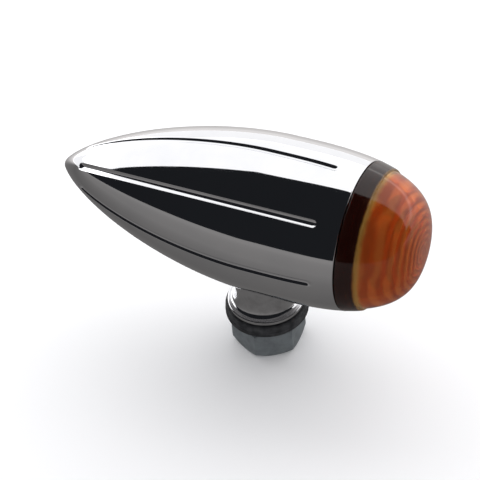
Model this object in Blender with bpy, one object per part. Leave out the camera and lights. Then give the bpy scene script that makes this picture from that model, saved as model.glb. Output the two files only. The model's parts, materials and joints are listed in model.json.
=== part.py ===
"""Bullet-shaped motorcycle turn signal with a fluted chrome body, an amber lens and a hollow-bolt mount.

Units are metres. The origin is the centre of the neck flange's underside, on the mounting bolt's axis. +X runs
along the body towards the lens and +Z points up, away from the bracket.
"""

import math

import bmesh
import bpy
from mathutils import Matrix, Vector

MM = 0.001

# ---- driving dimensions
BODY_RADIUS = 22.225 * MM
AXIS_Z = 34.4 * MM  # body axis above the flange underside
WIDEST_X = 4.2 * MM
NOSE_LENGTH = 65.8 * MM  # from the widest station to the tip
TAIL_LENGTH = 43.6 * MM  # from the widest station to the top of the lens
NOSE_FULLNESS, NOSE_ROUNDNESS = 1.75, 0.73
TAIL_FULLNESS, TAIL_ROUNDNESS = 3.05, 0.32
GAP = 0.3 * MM  # between pieces that touch

SEAM_X = 30.2 * MM  # mouth of the housing, where the lens collar starts
COLLAR_END_X = 35.3 * MM
DOME_STEP = 0.5 * MM

MOUTH_RADIUS = 18.8 * MM
SHOULDER_X = 20.7 * MM
CAVITY_RADIUS = 17.0 * MM
CAVITY_END_X = -51.0 * MM
NOSE_WALL = 2.8 * MM

FLUTE_ANGLES = range(-45, 226, 45)  # degrees about the body axis, from +Y towards +Z: none over the neck
FLUTE_START_X, FLUTE_END_X = -52.5 * MM, 24.2 * MM
FLUTE_RADIUS = 1.15 * MM
FLUTE_DEPTH = 0.62 * MM

THREAD_RADIUS = 6.0 * MM
BOLT_BORE = 4.2 * MM
BOLT_CLEARANCE = 6.4 * MM
BOLT_HEAD_RADIUS = 8.5 * MM
BOLT_HEAD_HEIGHT = 3.0 * MM
POCKET_DEPTH = 17.3 * MM  # floor of the bolt's pocket, below the body axis
POCKET_RADIUS = 9.6 * MM
LOCK_WASHER_HEIGHT = 1.0 * MM

NECK_RADIUS = 8.75 * MM
FLANGE_RADIUS = 11.3 * MM
FLANGE_HEIGHT = 1.5 * MM
FLARE_TOP_Z = 6.2 * MM
NECK_BLANK_TOP_Z = 20 * MM  # before the saddle is cut
GASKET_THICKNESS = 0.7 * MM

WASHER_RADIUS = 12.2 * MM
WASHER_HEIGHT = 3.9 * MM
NUT_ACROSS_FLATS = 19.05 * MM
NUT_HEIGHT = 10.0 * MM
NUT_TURN = math.radians(3)
BOLT_RECESS = 0.5 * MM  # bolt end above the nut's bottom face

BULB_TIP_X = 37.5 * MM
BULB_LENGTH = 50.8 * MM
GLOBE_RADIUS = 12.7 * MM
BASE_RADIUS = 7.5 * MM
PIN_RADIUS = 1.0 * MM
LIGHT_CENTRE = 31.8 * MM  # from the bayonet pins to the filament

SOCKET_BORE = 7.85 * MM
SOCKET_RADIUS = 8.6 * MM
CONTACT_TRAVEL = 2.5 * MM
BULB_TURN = 15  # degrees between the locked pins and the entry slots

REFLECTOR_FLANGE = 0.9 * MM
SCREW_CIRCLE = 16.5 * MM
SCREW_SIDES = (1, -1)  # above and below the axis

# ---- places worked out from them
BASE_END_X = BULB_TIP_X - BULB_LENGTH
PIN_X = BASE_END_X + 6.7 * MM
FILAMENT_X = PIN_X + LIGHT_CENTRE
POCKET_Z = AXIS_Z - POCKET_DEPTH
LOCK_WASHER_Z = POCKET_Z + GAP
BOLT_HEAD_Z = LOCK_WASHER_Z + LOCK_WASHER_HEIGHT + GAP
WASHER_Z = -GAP - WASHER_HEIGHT
NUT_Z = WASHER_Z - GAP - NUT_HEIGHT
BOLT_END_Z = NUT_Z + BOLT_RECESS
REFLECTOR_X = SHOULDER_X + GAP
GLOBE_X = BULB_TIP_X - GLOBE_RADIUS

ALONG_X = (0, math.radians(90), 0)  # turns a piece's own Z axis onto the body axis

MATERIALS = {
    "chrome": ((0.82, 0.82, 0.84), 0.05, 1.0),
    "zinc": ((0.42, 0.44, 0.46), 0.35, 1.0),
    "steel": ((0.55, 0.55, 0.56), 0.3, 1.0),
    "bright_aluminium": ((0.85, 0.85, 0.86), 0.15, 1.0),
    "brass": ((0.78, 0.60, 0.28), 0.25, 1.0),
    "nickel": ((0.70, 0.68, 0.62), 0.25, 1.0),
    "solder": ((0.60, 0.60, 0.62), 0.4, 1.0),
    "black_rubber": ((0.02, 0.02, 0.022), 0.6, 0.0),
    "fibre_board": ((0.25, 0.13, 0.06), 0.7, 0.0),
    "black_glass": ((0.02, 0.02, 0.03), 0.1, 0.0),
    "clear_glass": ((0.90, 0.93, 0.93), 0.02, 0.0),
    "tungsten": ((0.30, 0.29, 0.28), 0.4, 1.0),
    "amber_plastic": ((0.85, 0.30, 0.03), 0.08, 0.0),
}


def clear_scene():
    for obj in list(bpy.data.objects):
        bpy.data.objects.remove(obj, do_unlink=True)


def material(name):
    """The named finish, made once."""
    if name in bpy.data.materials:
        return bpy.data.materials[name]
    colour, roughness, metallic = MATERIALS[name]
    finish = bpy.data.materials.new(name)
    finish.use_nodes = True
    shader = finish.node_tree.nodes["Principled BSDF"]
    shader.inputs["Base Color"].default_value = (*colour, 1)
    shader.inputs["Roughness"].default_value = roughness
    shader.inputs["Metallic"].default_value = metallic
    finish.diffuse_color = (*colour, 1)
    return finish


def new_object(name, bm, finish=None, location=(0, 0, 0), rotation=(0, 0, 0), parent=None):
    """Makes the object from the bmesh. With no finish it is a cutter or a guide, which isn't part of the signal."""
    bmesh.ops.recalc_face_normals(bm, faces=bm.faces)
    mesh = bpy.data.meshes.new(name)
    bm.to_mesh(mesh)
    bm.free()
    obj = bpy.data.objects.new(name, mesh)
    bpy.context.scene.collection.objects.link(obj)
    obj.location = location
    obj.rotation_euler = rotation
    if parent:
        obj.parent = parent
    if finish:
        mesh.materials.append(material(finish))
        mesh.shade_smooth()
        mesh.set_sharp_from_angle(angle=math.radians(35))
    else:
        obj.hide_render = True
        obj.display_type = "WIRE"
    return obj


def joint_empty(name, location, parent=None):
    """An empty on a joint's axis, which carries the pieces that move together."""
    empty = bpy.data.objects.new(name, None)
    bpy.context.scene.collection.objects.link(empty)
    empty.location = location
    if parent:
        empty.parent = parent
    return empty


def lathe(outline, segments=32, start=0.0, sweep=2 * math.pi):
    """Turns an outline of (radius, height) points about Z. The outline is a loop, unless both ends are on the axis."""
    bm = bmesh.new()
    verts = [bm.verts.new((radius, 0, height)) for radius, height in outline]
    edges = [bm.edges.new(pair) for pair in zip(verts, verts[1:])]
    if outline[0][0] > 0 or outline[-1][0] > 0:
        edges.append(bm.edges.new((verts[-1], verts[0])))
    full = sweep >= 2 * math.pi
    if not full:
        bm.faces.new(verts)
    turn = Matrix.Rotation(start, 3, "Z")
    bmesh.ops.rotate(bm, verts=bm.verts, matrix=turn)
    bmesh.ops.spin(
        bm,
        geom=bm.verts[:] + bm.edges[:] + bm.faces[:],
        cent=(0, 0, 0),
        axis=(0, 0, 1),
        angle=sweep,
        steps=segments,
        use_merge=full,
    )
    bmesh.ops.remove_doubles(bm, verts=bm.verts, dist=1e-6)
    return bm


def ring_outline(inner, outer, bottom, top):
    return [(inner, bottom), (outer, bottom), (outer, top), (inner, top)]


def tube_outline(outer_points, inner_points):
    """A closed outline that runs up the outside and back down the inside."""
    return list(outer_points) + list(reversed(inner_points))


def sweep_tube(points, radius, sides=8, widths=None):
    """A closed round tube along the points, whose radius may be scaled at each by widths."""
    bm = bmesh.new()
    widths = widths or [1.0] * len(points)
    rings = []
    side = None
    for index, point in enumerate(points):
        ahead = points[min(index + 1, len(points) - 1)]
        behind = points[max(index - 1, 0)]
        along = (ahead - behind).normalized()
        if side is None:
            side = along.orthogonal().normalized()
        side = (side - along * side.dot(along)).normalized()
        other = along.cross(side)
        ring = []
        for step in range(sides):
            angle = 2 * math.pi * step / sides
            offset = (side * math.cos(angle) + other * math.sin(angle)) * radius * widths[index]
            ring.append(bm.verts.new(point + offset))
        rings.append(ring)
    for lower, upper in zip(rings, rings[1:]):
        for step in range(sides):
            following = (step + 1) % sides
            bm.faces.new((lower[step], lower[following], upper[following], upper[step]))
    bm.faces.new(list(reversed(rings[0])))
    bm.faces.new(rings[-1])
    return bm


def cylinder(radius, bottom, top, segments=24):
    return lathe([(0, bottom), (radius, bottom), (radius, top), (0, top)], segments)


def box(low, high):
    bm = bmesh.new()
    size = Vector(high) - Vector(low)
    middle = (Vector(high) + Vector(low)) / 2
    place = Matrix.Translation(middle) @ Matrix.Diagonal((*size, 1))
    bmesh.ops.create_cube(bm, size=1, matrix=place)
    return bm


def boolean(obj, other, operation="DIFFERENCE"):
    cut = obj.modifiers.new(operation.title(), "BOOLEAN")
    cut.operation = operation
    cut.object = other


def body_radius(x):
    """Outer radius of the bullet shape at a distance x along its axis."""
    if x < WIDEST_X:
        share = min((WIDEST_X - x) / NOSE_LENGTH, 1.0)
        return BODY_RADIUS * (1 - share**NOSE_FULLNESS) ** NOSE_ROUNDNESS
    share = min((x - WIDEST_X) / TAIL_LENGTH, 1.0)
    return BODY_RADIUS * (1 - share**TAIL_FULLNESS) ** TAIL_ROUNDNESS


def nose_stations(start_x, end_x, count):
    """Places along the axis, closer together towards the nose tip."""
    places = []
    for step in range(count + 1):
        share = math.sin(math.pi / 2 * (1 - step / count))
        places.append(end_x - (end_x - start_x) * share)
    return places


def housing_outline():
    nose_tip_x = WIDEST_X - NOSE_LENGTH
    outside = [(body_radius(x), x) for x in nose_stations(nose_tip_x, WIDEST_X, 15)]
    outside[0] = (0, nose_tip_x)
    tail_steps = 5
    for step in range(1, tail_steps + 1):
        x = WIDEST_X + (SEAM_X - WIDEST_X) * step / tail_steps
        outside.append((body_radius(x), x))
    inside = [(MOUTH_RADIUS, SEAM_X), (MOUTH_RADIUS, SHOULDER_X), (CAVITY_RADIUS, SHOULDER_X)]
    taper_start_x = -18 * MM
    inside.append((CAVITY_RADIUS, taper_start_x))
    for step in range(1, 6):
        x = taper_start_x + (CAVITY_END_X - taper_start_x) * step / 5
        inside.append((min(CAVITY_RADIUS, body_radius(x) - NOSE_WALL), x))
    inside.append((0, CAVITY_END_X))
    return outside + inside


def flute_cutter(index, angle):
    """A groove cutter that follows the housing's outline and narrows at both ends."""
    steps, end_length, end_width = 12, 0.8 * MM, 0.75
    first_x, last_x = FLUTE_START_X + end_length, FLUTE_END_X - end_length
    places = [first_x + (last_x - first_x) * step / steps for step in range(steps + 1)]
    places = [FLUTE_START_X, *places, FLUTE_END_X]
    widths = [end_width] + [1.0] * (steps + 1) + [end_width]
    direction = math.radians(angle)
    points = []
    for x in places:
        reach = body_radius(x) + FLUTE_RADIUS - FLUTE_DEPTH
        points.append(Vector((x, reach * math.cos(direction), AXIS_Z + reach * math.sin(direction))))
    return new_object(f"flute_cutter_{index}", sweep_tube(points, FLUTE_RADIUS, 6, widths))


def housing():
    boss_radius, boss_start_x = 2.9 * MM, 9 * MM
    pilot_radius, pilot_start_x = 1.3 * MM, 11.5 * MM
    bowl_room = 14.7 * MM
    body = new_object("housing", lathe(housing_outline(), 40), "chrome", (0, 0, AXIS_Z), ALONG_X)
    clearance = new_object(
        "bowl_clearance",
        cylinder(bowl_room, 0, SEAM_X, 40),
        location=(0, 0, AXIS_Z),
        rotation=ALONG_X,
    )
    for index, side in enumerate(SCREW_SIDES, 1):
        boss_place = (0, 0, AXIS_Z + side * SCREW_CIRCLE)
        boss = new_object(
            f"boss_guide_{index}",
            cylinder(boss_radius, boss_start_x, SHOULDER_X, 20),
            None,
            boss_place,
            ALONG_X,
        )
        boolean(boss, clearance)
        boolean(body, boss, "UNION")
        pilot = new_object(
            f"pilot_cutter_{index}",
            cylinder(pilot_radius, pilot_start_x, SHOULDER_X + 1 * MM, 12),
            None,
            boss_place,
            ALONG_X,
        )
        boolean(body, pilot)
    pocket = new_object("pocket_cutter", cylinder(POCKET_RADIUS, POCKET_Z, AXIS_Z, 24))
    boolean(body, pocket)
    bolt_hole = new_object("bolt_hole_cutter", cylinder(BOLT_CLEARANCE, 0, AXIS_Z, 24))
    boolean(body, bolt_hole)
    for index, angle in enumerate(FLUTE_ANGLES, 1):
        boolean(body, flute_cutter(index, angle))
    return body


def body_guide(name, offset):
    """The bullet shape grown by an offset, for cutting saddles that fit against it."""
    start_x, end_x, steps = -40 * MM, 25 * MM, 16
    outline = [(0, start_x)]
    for step in range(steps + 1):
        x = start_x + (end_x - start_x) * step / steps
        outline.append((body_radius(x) + offset, x))
    outline.append((0, end_x))
    return new_object(name, lathe(outline, 72), None, (0, 0, AXIS_Z), ALONG_X)


def stem():
    bevel, flare_foot, flare_steps = 0.4 * MM, FLANGE_RADIUS - 0.9 * MM, 5
    outside = [(FLANGE_RADIUS - bevel, 0), (FLANGE_RADIUS, bevel)]
    outside += [(FLANGE_RADIUS, FLANGE_HEIGHT - bevel), (FLANGE_RADIUS - bevel, FLANGE_HEIGHT)]
    for step in range(1, flare_steps + 1):
        angle = math.pi / 2 * step / flare_steps
        radius = NECK_RADIUS + (flare_foot - NECK_RADIUS) * (1 - math.sin(angle))
        height = FLANGE_HEIGHT + (FLARE_TOP_Z - FLANGE_HEIGHT) * (1 - math.cos(angle))
        outside.append((radius, height))
    outside.append((NECK_RADIUS, NECK_BLANK_TOP_Z))
    inside = [(BOLT_CLEARANCE, 0), (BOLT_CLEARANCE, NECK_BLANK_TOP_Z)]
    neck = new_object("stem", lathe(tube_outline(outside, inside), 30), "chrome")
    boolean(neck, body_guide("stem_saddle_cutter", 2 * GAP + GASKET_THICKNESS))
    return neck


def stem_gasket():
    blank = lathe(ring_outline(BOLT_CLEARANCE, NECK_RADIUS + 0.2 * MM, FLARE_TOP_Z, NECK_BLANK_TOP_Z), 24)
    gasket = new_object("stem_gasket", blank, "black_rubber")
    boolean(gasket, body_guide("gasket_outer_guide", GAP + GASKET_THICKNESS), "INTERSECT")
    boolean(gasket, body_guide("gasket_inner_cutter", GAP))
    return gasket


def hollow_bolt():
    hex_head = bmesh.new()
    bmesh.ops.create_cone(
        hex_head,
        cap_ends=True,
        segments=6,
        radius1=BOLT_HEAD_RADIUS,
        radius2=BOLT_HEAD_RADIUS,
        depth=BOLT_HEAD_HEIGHT,
        matrix=Matrix.Translation((0, 0, BOLT_HEAD_Z + BOLT_HEAD_HEIGHT / 2)),
    )
    bolt = new_object("hollow_bolt", hex_head, "steel")
    shank = new_object(
        "bolt_shank_guide", cylinder(THREAD_RADIUS, BOLT_END_Z, BOLT_HEAD_Z + 0.5 * MM, 24)
    )
    boolean(bolt, shank, "UNION")
    bore = new_object("bolt_bore_cutter", cylinder(BOLT_BORE, BOLT_END_Z - 1 * MM, AXIS_Z, 20))
    boolean(bolt, bore)
    return bolt


def lock_washer():
    outline = ring_outline(
        BOLT_CLEARANCE, POCKET_RADIUS - 0.5 * MM, LOCK_WASHER_Z, LOCK_WASHER_Z + LOCK_WASHER_HEIGHT
    )
    return new_object("lock_washer", lathe(outline, 24), "steel")


def wire_grommet():
    seat = BOLT_HEAD_Z + BOLT_HEAD_HEIGHT + GAP
    bore, sleeve, flange = 3.1 * MM, BOLT_BORE - GAP, 6.0 * MM
    foot, top, bevel = seat - 4 * MM, seat + 1.2 * MM, 0.45 * MM
    outline = [
        (bore, foot),
        (sleeve, foot),
        (sleeve, seat),
        (flange, seat),
        (flange, top - bevel),
        (flange - bevel, top),
        (bore, top),
    ]
    return new_object("wire_grommet", lathe(outline, 20), "black_rubber")


def reflector():
    neck, wall, rim = SOCKET_RADIUS + GAP, 0.7 * MM, 13.4 * MM
    neck_x, bowl_x, bowl_steps = -2.9 * MM, 2.5 * MM, 6
    hole_radius = 1.35 * MM
    inside = [(neck, neck_x), (neck, bowl_x)]
    for step in range(1, bowl_steps + 1):
        share = step / bowl_steps
        inside.append((neck + (rim - neck) * share**0.9, bowl_x + (REFLECTOR_X - bowl_x) * share))
    flange_front = REFLECTOR_X + REFLECTOR_FLANGE
    outside = [(neck + wall, neck_x), (neck + wall, bowl_x)]
    for radius, x in inside[2:]:
        outside.append((radius + wall, x))
    flange_radius = MOUTH_RADIUS - 0.4 * MM
    outside += [(flange_radius, REFLECTOR_X), (flange_radius, flange_front)]
    inside.append((rim, flange_front))
    bowl = new_object(
        "reflector",
        lathe(tube_outline(outside, inside), 32),
        "bright_aluminium",
        (0, 0, AXIS_Z),
        ALONG_X,
    )
    for index, side in enumerate(SCREW_SIDES, 1):
        hole = new_object(
            f"reflector_hole_cutter_{index}",
            cylinder(hole_radius, REFLECTOR_X - 1 * MM, flange_front + 1 * MM, 16),
            None,
            (0, 0, AXIS_Z + side * SCREW_CIRCLE),
            ALONG_X,
        )
        boolean(bowl, hole)
    return bowl


def reflector_screw(index, side):
    head_x, point_x = REFLECTOR_X + REFLECTOR_FLANGE + GAP, 12.5 * MM
    head, shank = 1.85 * MM, 1.0 * MM
    outline = [
        (0, point_x),
        (shank, point_x),
        (shank, head_x),
        (head, head_x),
        (head, head_x + 0.7 * MM),
        (head * 0.7, head_x + 1.3 * MM),
        (0, head_x + 1.5 * MM),
    ]
    place = (0, 0, AXIS_Z + side * SCREW_CIRCLE)
    screw = new_object(f"reflector_screw_{index}", lathe(outline, 12), "steel", place, ALONG_X)
    slot_low = (-3 * MM, -0.3 * MM, head_x + 0.8 * MM)
    slot_high = (3 * MM, 0.3 * MM, head_x + 3 * MM)
    slot = new_object(f"screw_slot_cutter_{index}", box(slot_low, slot_high), None, place, ALONG_X)
    boolean(screw, slot)
    return screw


def socket_shell():
    lip, back_x, front_x, back_wall = 6.4 * MM, -25.4 * MM, 1.0 * MM, 0.6 * MM
    pin_play, end_play = 0.35 * MM, 0.4 * MM
    outline = [
        (lip, back_x),
        (SOCKET_RADIUS, back_x),
        (SOCKET_RADIUS, front_x),
        (SOCKET_BORE, front_x),
        (SOCKET_BORE, back_x + back_wall),
        (lip, back_x + back_wall),
    ]
    shell = new_object("socket_shell", lathe(outline, 28), "nickel", (0, 0, AXIS_Z), ALONG_X)
    side_room = math.degrees((PIN_RADIUS + pin_play) / SOCKET_BORE)
    leg_low = PIN_X - PIN_RADIUS - CONTACT_TRAVEL - end_play
    leg_high = PIN_X + PIN_RADIUS + end_play
    slot_span = SOCKET_BORE - 1 * MM, SOCKET_RADIUS + 1 * MM
    slots = {
        "leg": (leg_low, leg_high, -side_room, BULB_TURN + side_room),
        "entry": (leg_high - 1 * MM, front_x + 1 * MM, BULB_TURN - side_room, BULB_TURN + side_room),
    }
    for name, (low, high, first, last) in slots.items():
        for half_turn in (0, 180):
            # The slot is turned about the body axis from +Y, which is +Y of the piece's own frame too.
            start = math.radians(90 + half_turn + first)
            cutter = new_object(
                f"socket_{name}_cutter_{half_turn}",
                lathe(ring_outline(*slot_span, low, high), 6, start, math.radians(last - first)),
                None,
                (0, 0, AXIS_Z),
                ALONG_X,
            )
            boolean(shell, cutter)
    return shell


def socket_clip():
    outline = ring_outline(SOCKET_RADIUS + GAP, 10.2 * MM, -4.4 * MM, -3.2 * MM)
    return new_object("socket_clip", lathe(outline, 24), "steel", (0, 0, AXIS_Z), ALONG_X)


def terminal_board():
    outline = ring_outline(1.4 * MM, SOCKET_BORE - GAP, -24.5 * MM, -23.3 * MM)
    return new_object("terminal_board", lathe(outline, 24), "fibre_board", (0, 0, AXIS_Z), ALONG_X)


def feed_terminal():
    """A rivet through the terminal board with a push-on blade behind it."""
    outline = [
        (0, -25.6 * MM),
        (1.05 * MM, -25.6 * MM),
        (1.05 * MM, -23.0 * MM),
        (2.2 * MM, -23.0 * MM),
        (1.6 * MM, -22.3 * MM),
        (0, -22.2 * MM),
    ]
    rivet = new_object("feed_terminal", lathe(outline, 16), "brass", (0, 0, AXIS_Z), ALONG_X)
    blade = new_object(
        "feed_blade_guide",
        box((-31.5 * MM, -2.2 * MM, AXIS_Z - 0.4 * MM), (-25.2 * MM, 2.2 * MM, AXIS_Z + 0.4 * MM)),
    )
    boolean(rivet, blade, "UNION")
    return rivet


def ground_terminal():
    """A bent blade spot-welded beside the back of the socket shell."""
    top = AXIS_Z + SOCKET_RADIUS + GAP
    tab = new_object(
        "ground_terminal", box((-24 * MM, -2.2 * MM, top), (-18 * MM, 2.2 * MM, top + 0.8 * MM)), "brass"
    )
    blade = new_object(
        "ground_blade_guide",
        box((-31 * MM, -1.6 * MM, top + 0.01 * MM), (-23 * MM, 1.6 * MM, top + 0.7 * MM)),
    )
    boolean(tab, blade, "UNION")
    return tab


def contact_spring():
    turns, steps_per_turn, coil_radius, wire = 4, 12, 5.4 * MM, 0.35 * MM
    start_x, end_x = -22.6 * MM, -17.65 * MM
    points = []
    for step in range(turns * steps_per_turn + 1):
        angle = 2 * math.pi * step / steps_per_turn
        share = step / (turns * steps_per_turn)
        x = start_x + (end_x - start_x) * share
        points.append(Vector((x, coil_radius * math.cos(angle), AXIS_Z + coil_radius * math.sin(angle))))
    return new_object("contact_spring", sweep_tube(points, wire, 5), "steel")


def contact_disc(parent):
    outline = ring_outline(1.5 * MM, 7.2 * MM, -16.9 * MM, -15.4 * MM)
    return new_object(
        "contact_disc", lathe(outline, 24), "fibre_board", rotation=ALONG_X, parent=parent
    )


def contact_button(parent):
    outline = [
        (0, -17.6 * MM),
        (1.15 * MM, -17.6 * MM),
        (1.15 * MM, -15.1 * MM),
        (2.4 * MM, -15.1 * MM),
        (1.8 * MM, -14.0 * MM),
        (0, BASE_END_X - GAP),
    ]
    return new_object("contact_button", lathe(outline, 20), "brass", rotation=ALONG_X, parent=parent)


def bulb_base(parent):
    inside_radius, end_x, top_x = 6.95 * MM, BASE_END_X + 1.1 * MM, 3.5 * MM
    outline = [
        (5.4 * MM, end_x),
        (6.9 * MM, end_x),
        (BASE_RADIUS, end_x + 0.7 * MM),
        (BASE_RADIUS, top_x),
        (inside_radius, top_x),
        (inside_radius, end_x + 1.2 * MM),
        (5.4 * MM, end_x + 0.8 * MM),
    ]
    base = new_object("bulb_base", lathe(outline, 24), "brass", rotation=ALONG_X, parent=parent)
    for side in (1, -1):
        near, far = sorted((side * 7.2 * MM, side * 8.5 * MM))
        pin = new_object(
            f"bayonet_pin_guide_{(1 - side) // 2 + 1}",
            cylinder(PIN_RADIUS, near, far, 14),
            None,
            (PIN_X, 0, 0),
            (math.radians(-90), 0, 0),
            parent,
        )
        boolean(base, pin, "UNION")
    return base


def bulb_insulator(parent):
    outline = [
        (1.9 * MM, BASE_END_X + 0.7 * MM),
        (3.6 * MM, BASE_END_X + 0.9 * MM),
        (5.05 * MM, BASE_END_X + 1.6 * MM),
        (5.05 * MM, BASE_END_X + 3.4 * MM),
        (1.9 * MM, BASE_END_X + 3.4 * MM),
    ]
    return new_object(
        "bulb_insulator", lathe(outline, 20), "black_glass", rotation=ALONG_X, parent=parent
    )


def bulb_contact(parent):
    outline = [
        (0, BASE_END_X),
        (1.1 * MM, BASE_END_X + 0.15 * MM),
        (1.5 * MM, BASE_END_X + 0.6 * MM),
        (1.5 * MM, BASE_END_X + 3.2 * MM),
        (0, BASE_END_X + 3.2 * MM),
    ]
    return new_object("bulb_contact", lathe(outline, 16), "solder", rotation=ALONG_X, parent=parent)


def bulb_glass(parent):
    wall, neck = 0.7 * MM, 6.6 * MM
    start_x, straight_x, join_x = 0.5 * MM, 6.0 * MM, GLOBE_X - 8.4 * MM
    join_radius = math.sqrt(GLOBE_RADIUS**2 - (GLOBE_X - join_x) ** 2)
    slope = (GLOBE_X - join_x) / join_radius * (join_x - straight_x)
    outside = [(neck, start_x), (neck, straight_x)]
    steps = 4
    for step in range(1, steps + 1):
        share = step / steps
        blend = 3 * share**2 - 2 * share**3
        lift = share**3 - share**2
        outside.append(
            (neck + (join_radius - neck) * blend + slope * lift, straight_x + (join_x - straight_x) * share)
        )
    first = math.atan2(join_radius, join_x - GLOBE_X)
    globe_steps = 7
    for step in range(1, globe_steps + 1):
        angle = first * (1 - step / globe_steps)
        outside.append((GLOBE_RADIUS * math.sin(angle), GLOBE_X + GLOBE_RADIUS * math.cos(angle)))
    outside[-1] = (0, BULB_TIP_X)
    inside = [(max(radius - wall, 0), x) for radius, x in outside[:-2]]
    inside.append((outside[-2][0] * 0.94, outside[-2][1] - wall))
    inside.append((0, BULB_TIP_X - wall))
    return new_object(
        "bulb_glass",
        lathe(tube_outline(outside, inside), 24),
        "clear_glass",
        rotation=ALONG_X,
        parent=parent,
    )


def bulb_mount(parent):
    """The glass stem inside the bulb, with a flare at its foot and a pinch at its top."""
    outline = [
        (0, 1.0 * MM),
        (5.5 * MM, 1.0 * MM),
        (5.5 * MM, 1.8 * MM),
        (2.6 * MM, 4.5 * MM),
        (1.9 * MM, 8.0 * MM),
        (1.9 * MM, 13.5 * MM),
        (1.3 * MM, 14.2 * MM),
        (0, 14.2 * MM),
    ]
    return new_object("bulb_mount", lathe(outline, 14), "clear_glass", rotation=ALONG_X, parent=parent)


def bulb_support(index, side, parent):
    points = [
        Vector((14.6 * MM, side * 0.9 * MM, 0)),
        Vector((16.5 * MM, side * 1.1 * MM, 0)),
        Vector((20.0 * MM, side * 3.2 * MM, 0)),
        Vector((23.5 * MM, side * 3.9 * MM, 0)),
        Vector((FILAMENT_X + 0.6 * MM, side * 3.9 * MM, 0)),
    ]
    return new_object(f"bulb_support_{index}", sweep_tube(points, 0.25 * MM, 6), "nickel", parent=parent)


def bulb_filament(parent):
    turns, steps_per_turn = 7, 8
    half_width, coil_radius, rise = 3.25 * MM, 0.5 * MM, 1.2 * MM
    points = []
    for step in range(turns * steps_per_turn + 1):
        share = step / (turns * steps_per_turn)
        angle = 2 * math.pi * step / steps_per_turn
        bow = rise * math.sin(math.pi * share)
        points.append(
            Vector(
                (
                    FILAMENT_X + bow + coil_radius * math.cos(angle),
                    half_width * (2 * share - 1),
                    coil_radius * math.sin(angle),
                )
            )
        )
    return new_object("bulb_filament", sweep_tube(points, 0.12 * MM, 4), "tungsten", parent=parent)


def dome_radius(x):
    """Outer radius of the lens dome, which steps in a little from the collar and ends at the same top."""
    start = body_radius(COLLAR_END_X)
    return body_radius(x) * (start - DOME_STEP) / start


def lens(parent):
    spigot, spigot_bore, back_x = MOUTH_RADIUS - 0.4 * MM, 15.0 * MM, 24.6 * MM
    groove_low, groove_high, groove_radius = 26.0 * MM, 28.4 * MM, 16.4 * MM
    collar_x = SEAM_X + GAP
    top_x = WIDEST_X + TAIL_LENGTH
    outside = [
        (spigot - 0.5 * MM, back_x),
        (spigot, back_x + 0.5 * MM),
        (spigot, groove_low),
        (groove_radius, groove_low),
        (groove_radius, groove_high),
        (spigot, groove_high),
        (spigot, collar_x),
    ]
    for step in range(4):
        x = collar_x + (COLLAR_END_X - collar_x) * step / 3
        outside.append((body_radius(x), x))
    dome_steps = 8
    for step in range(dome_steps + 1):
        share = math.sin(math.pi / 2 * step / dome_steps)
        x = COLLAR_END_X + 0.2 * MM + (top_x - COLLAR_END_X - 0.2 * MM) * share
        outside.append((dome_radius(x), x))
    outside[-1] = (0, top_x)
    wall = 2.0 * MM
    inside = [(spigot_bore, back_x), (spigot_bore, collar_x)]
    inner_steps = 6
    for step in range(inner_steps + 1):
        share = math.sin(math.pi / 2 * step / inner_steps)
        x = COLLAR_END_X + (top_x - COLLAR_END_X) * share
        inside.append((max(dome_radius(x) * 0.905, 0), x - wall * (0.5 + 0.5 * share)))
    inside[-1] = (0, top_x - wall)
    return new_object(
        "lens",
        lathe(tube_outline(outside, inside), 36),
        "amber_plastic",
        rotation=ALONG_X,
        parent=parent,
    )


def lens_seal(parent):
    centre_radius, centre_x, thickness, sides = 17.6 * MM, 27.2 * MM, 0.8 * MM, 6
    outline = []
    for step in range(sides):
        angle = 2 * math.pi * (step + 0.5) / sides
        outline.append((centre_radius + thickness * math.cos(angle), centre_x + thickness * math.sin(angle)))
    return new_object("lens_seal", lathe(outline, 30), "black_rubber", rotation=ALONG_X, parent=parent)


def rubber_washer(parent):
    bevel = 0.9 * MM
    outline = [
        (BOLT_CLEARANCE, 0),
        (WASHER_RADIUS - bevel * 1.6, 0),
        (WASHER_RADIUS, bevel),
        (WASHER_RADIUS, WASHER_HEIGHT - 0.4 * MM),
        (WASHER_RADIUS - 0.4 * MM, WASHER_HEIGHT),
        (BOLT_CLEARANCE, WASHER_HEIGHT),
    ]
    return new_object("rubber_washer", lathe(outline, 30), "black_rubber", parent=parent)


def hex_nut(parent):
    corner = NUT_ACROSS_FLATS / math.sqrt(3)
    flat = NUT_ACROSS_FLATS / 2
    prism = bmesh.new()
    bmesh.ops.create_cone(
        prism,
        cap_ends=True,
        segments=6,
        radius1=corner,
        radius2=corner,
        depth=NUT_HEIGHT,
        matrix=Matrix.Translation((0, 0, NUT_HEIGHT / 2)) @ Matrix.Rotation(NUT_TURN, 4, "Z"),
    )
    nut = new_object("hex_nut", prism, "zinc", parent=parent)
    rise = (corner + 0.3 * MM - flat + 0.4 * MM) * math.tan(math.radians(40))
    rounded = [
        (0, -0.01 * MM),
        (flat - 0.4 * MM, -0.01 * MM),
        (corner + 0.3 * MM, rise),
        (corner + 0.3 * MM, NUT_HEIGHT - 1.2 * MM),
        (flat - 0.2 * MM, NUT_HEIGHT + 0.01 * MM),
        (0, NUT_HEIGHT + 0.01 * MM),
    ]
    boolean(nut, new_object("nut_chamfer_guide", lathe(rounded, 36), parent=parent), "INTERSECT")
    bore = cylinder(BOLT_CLEARANCE, -1 * MM, NUT_HEIGHT + 1 * MM, 24)
    boolean(nut, new_object("nut_bore_cutter", bore, parent=parent))
    return nut


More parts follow.
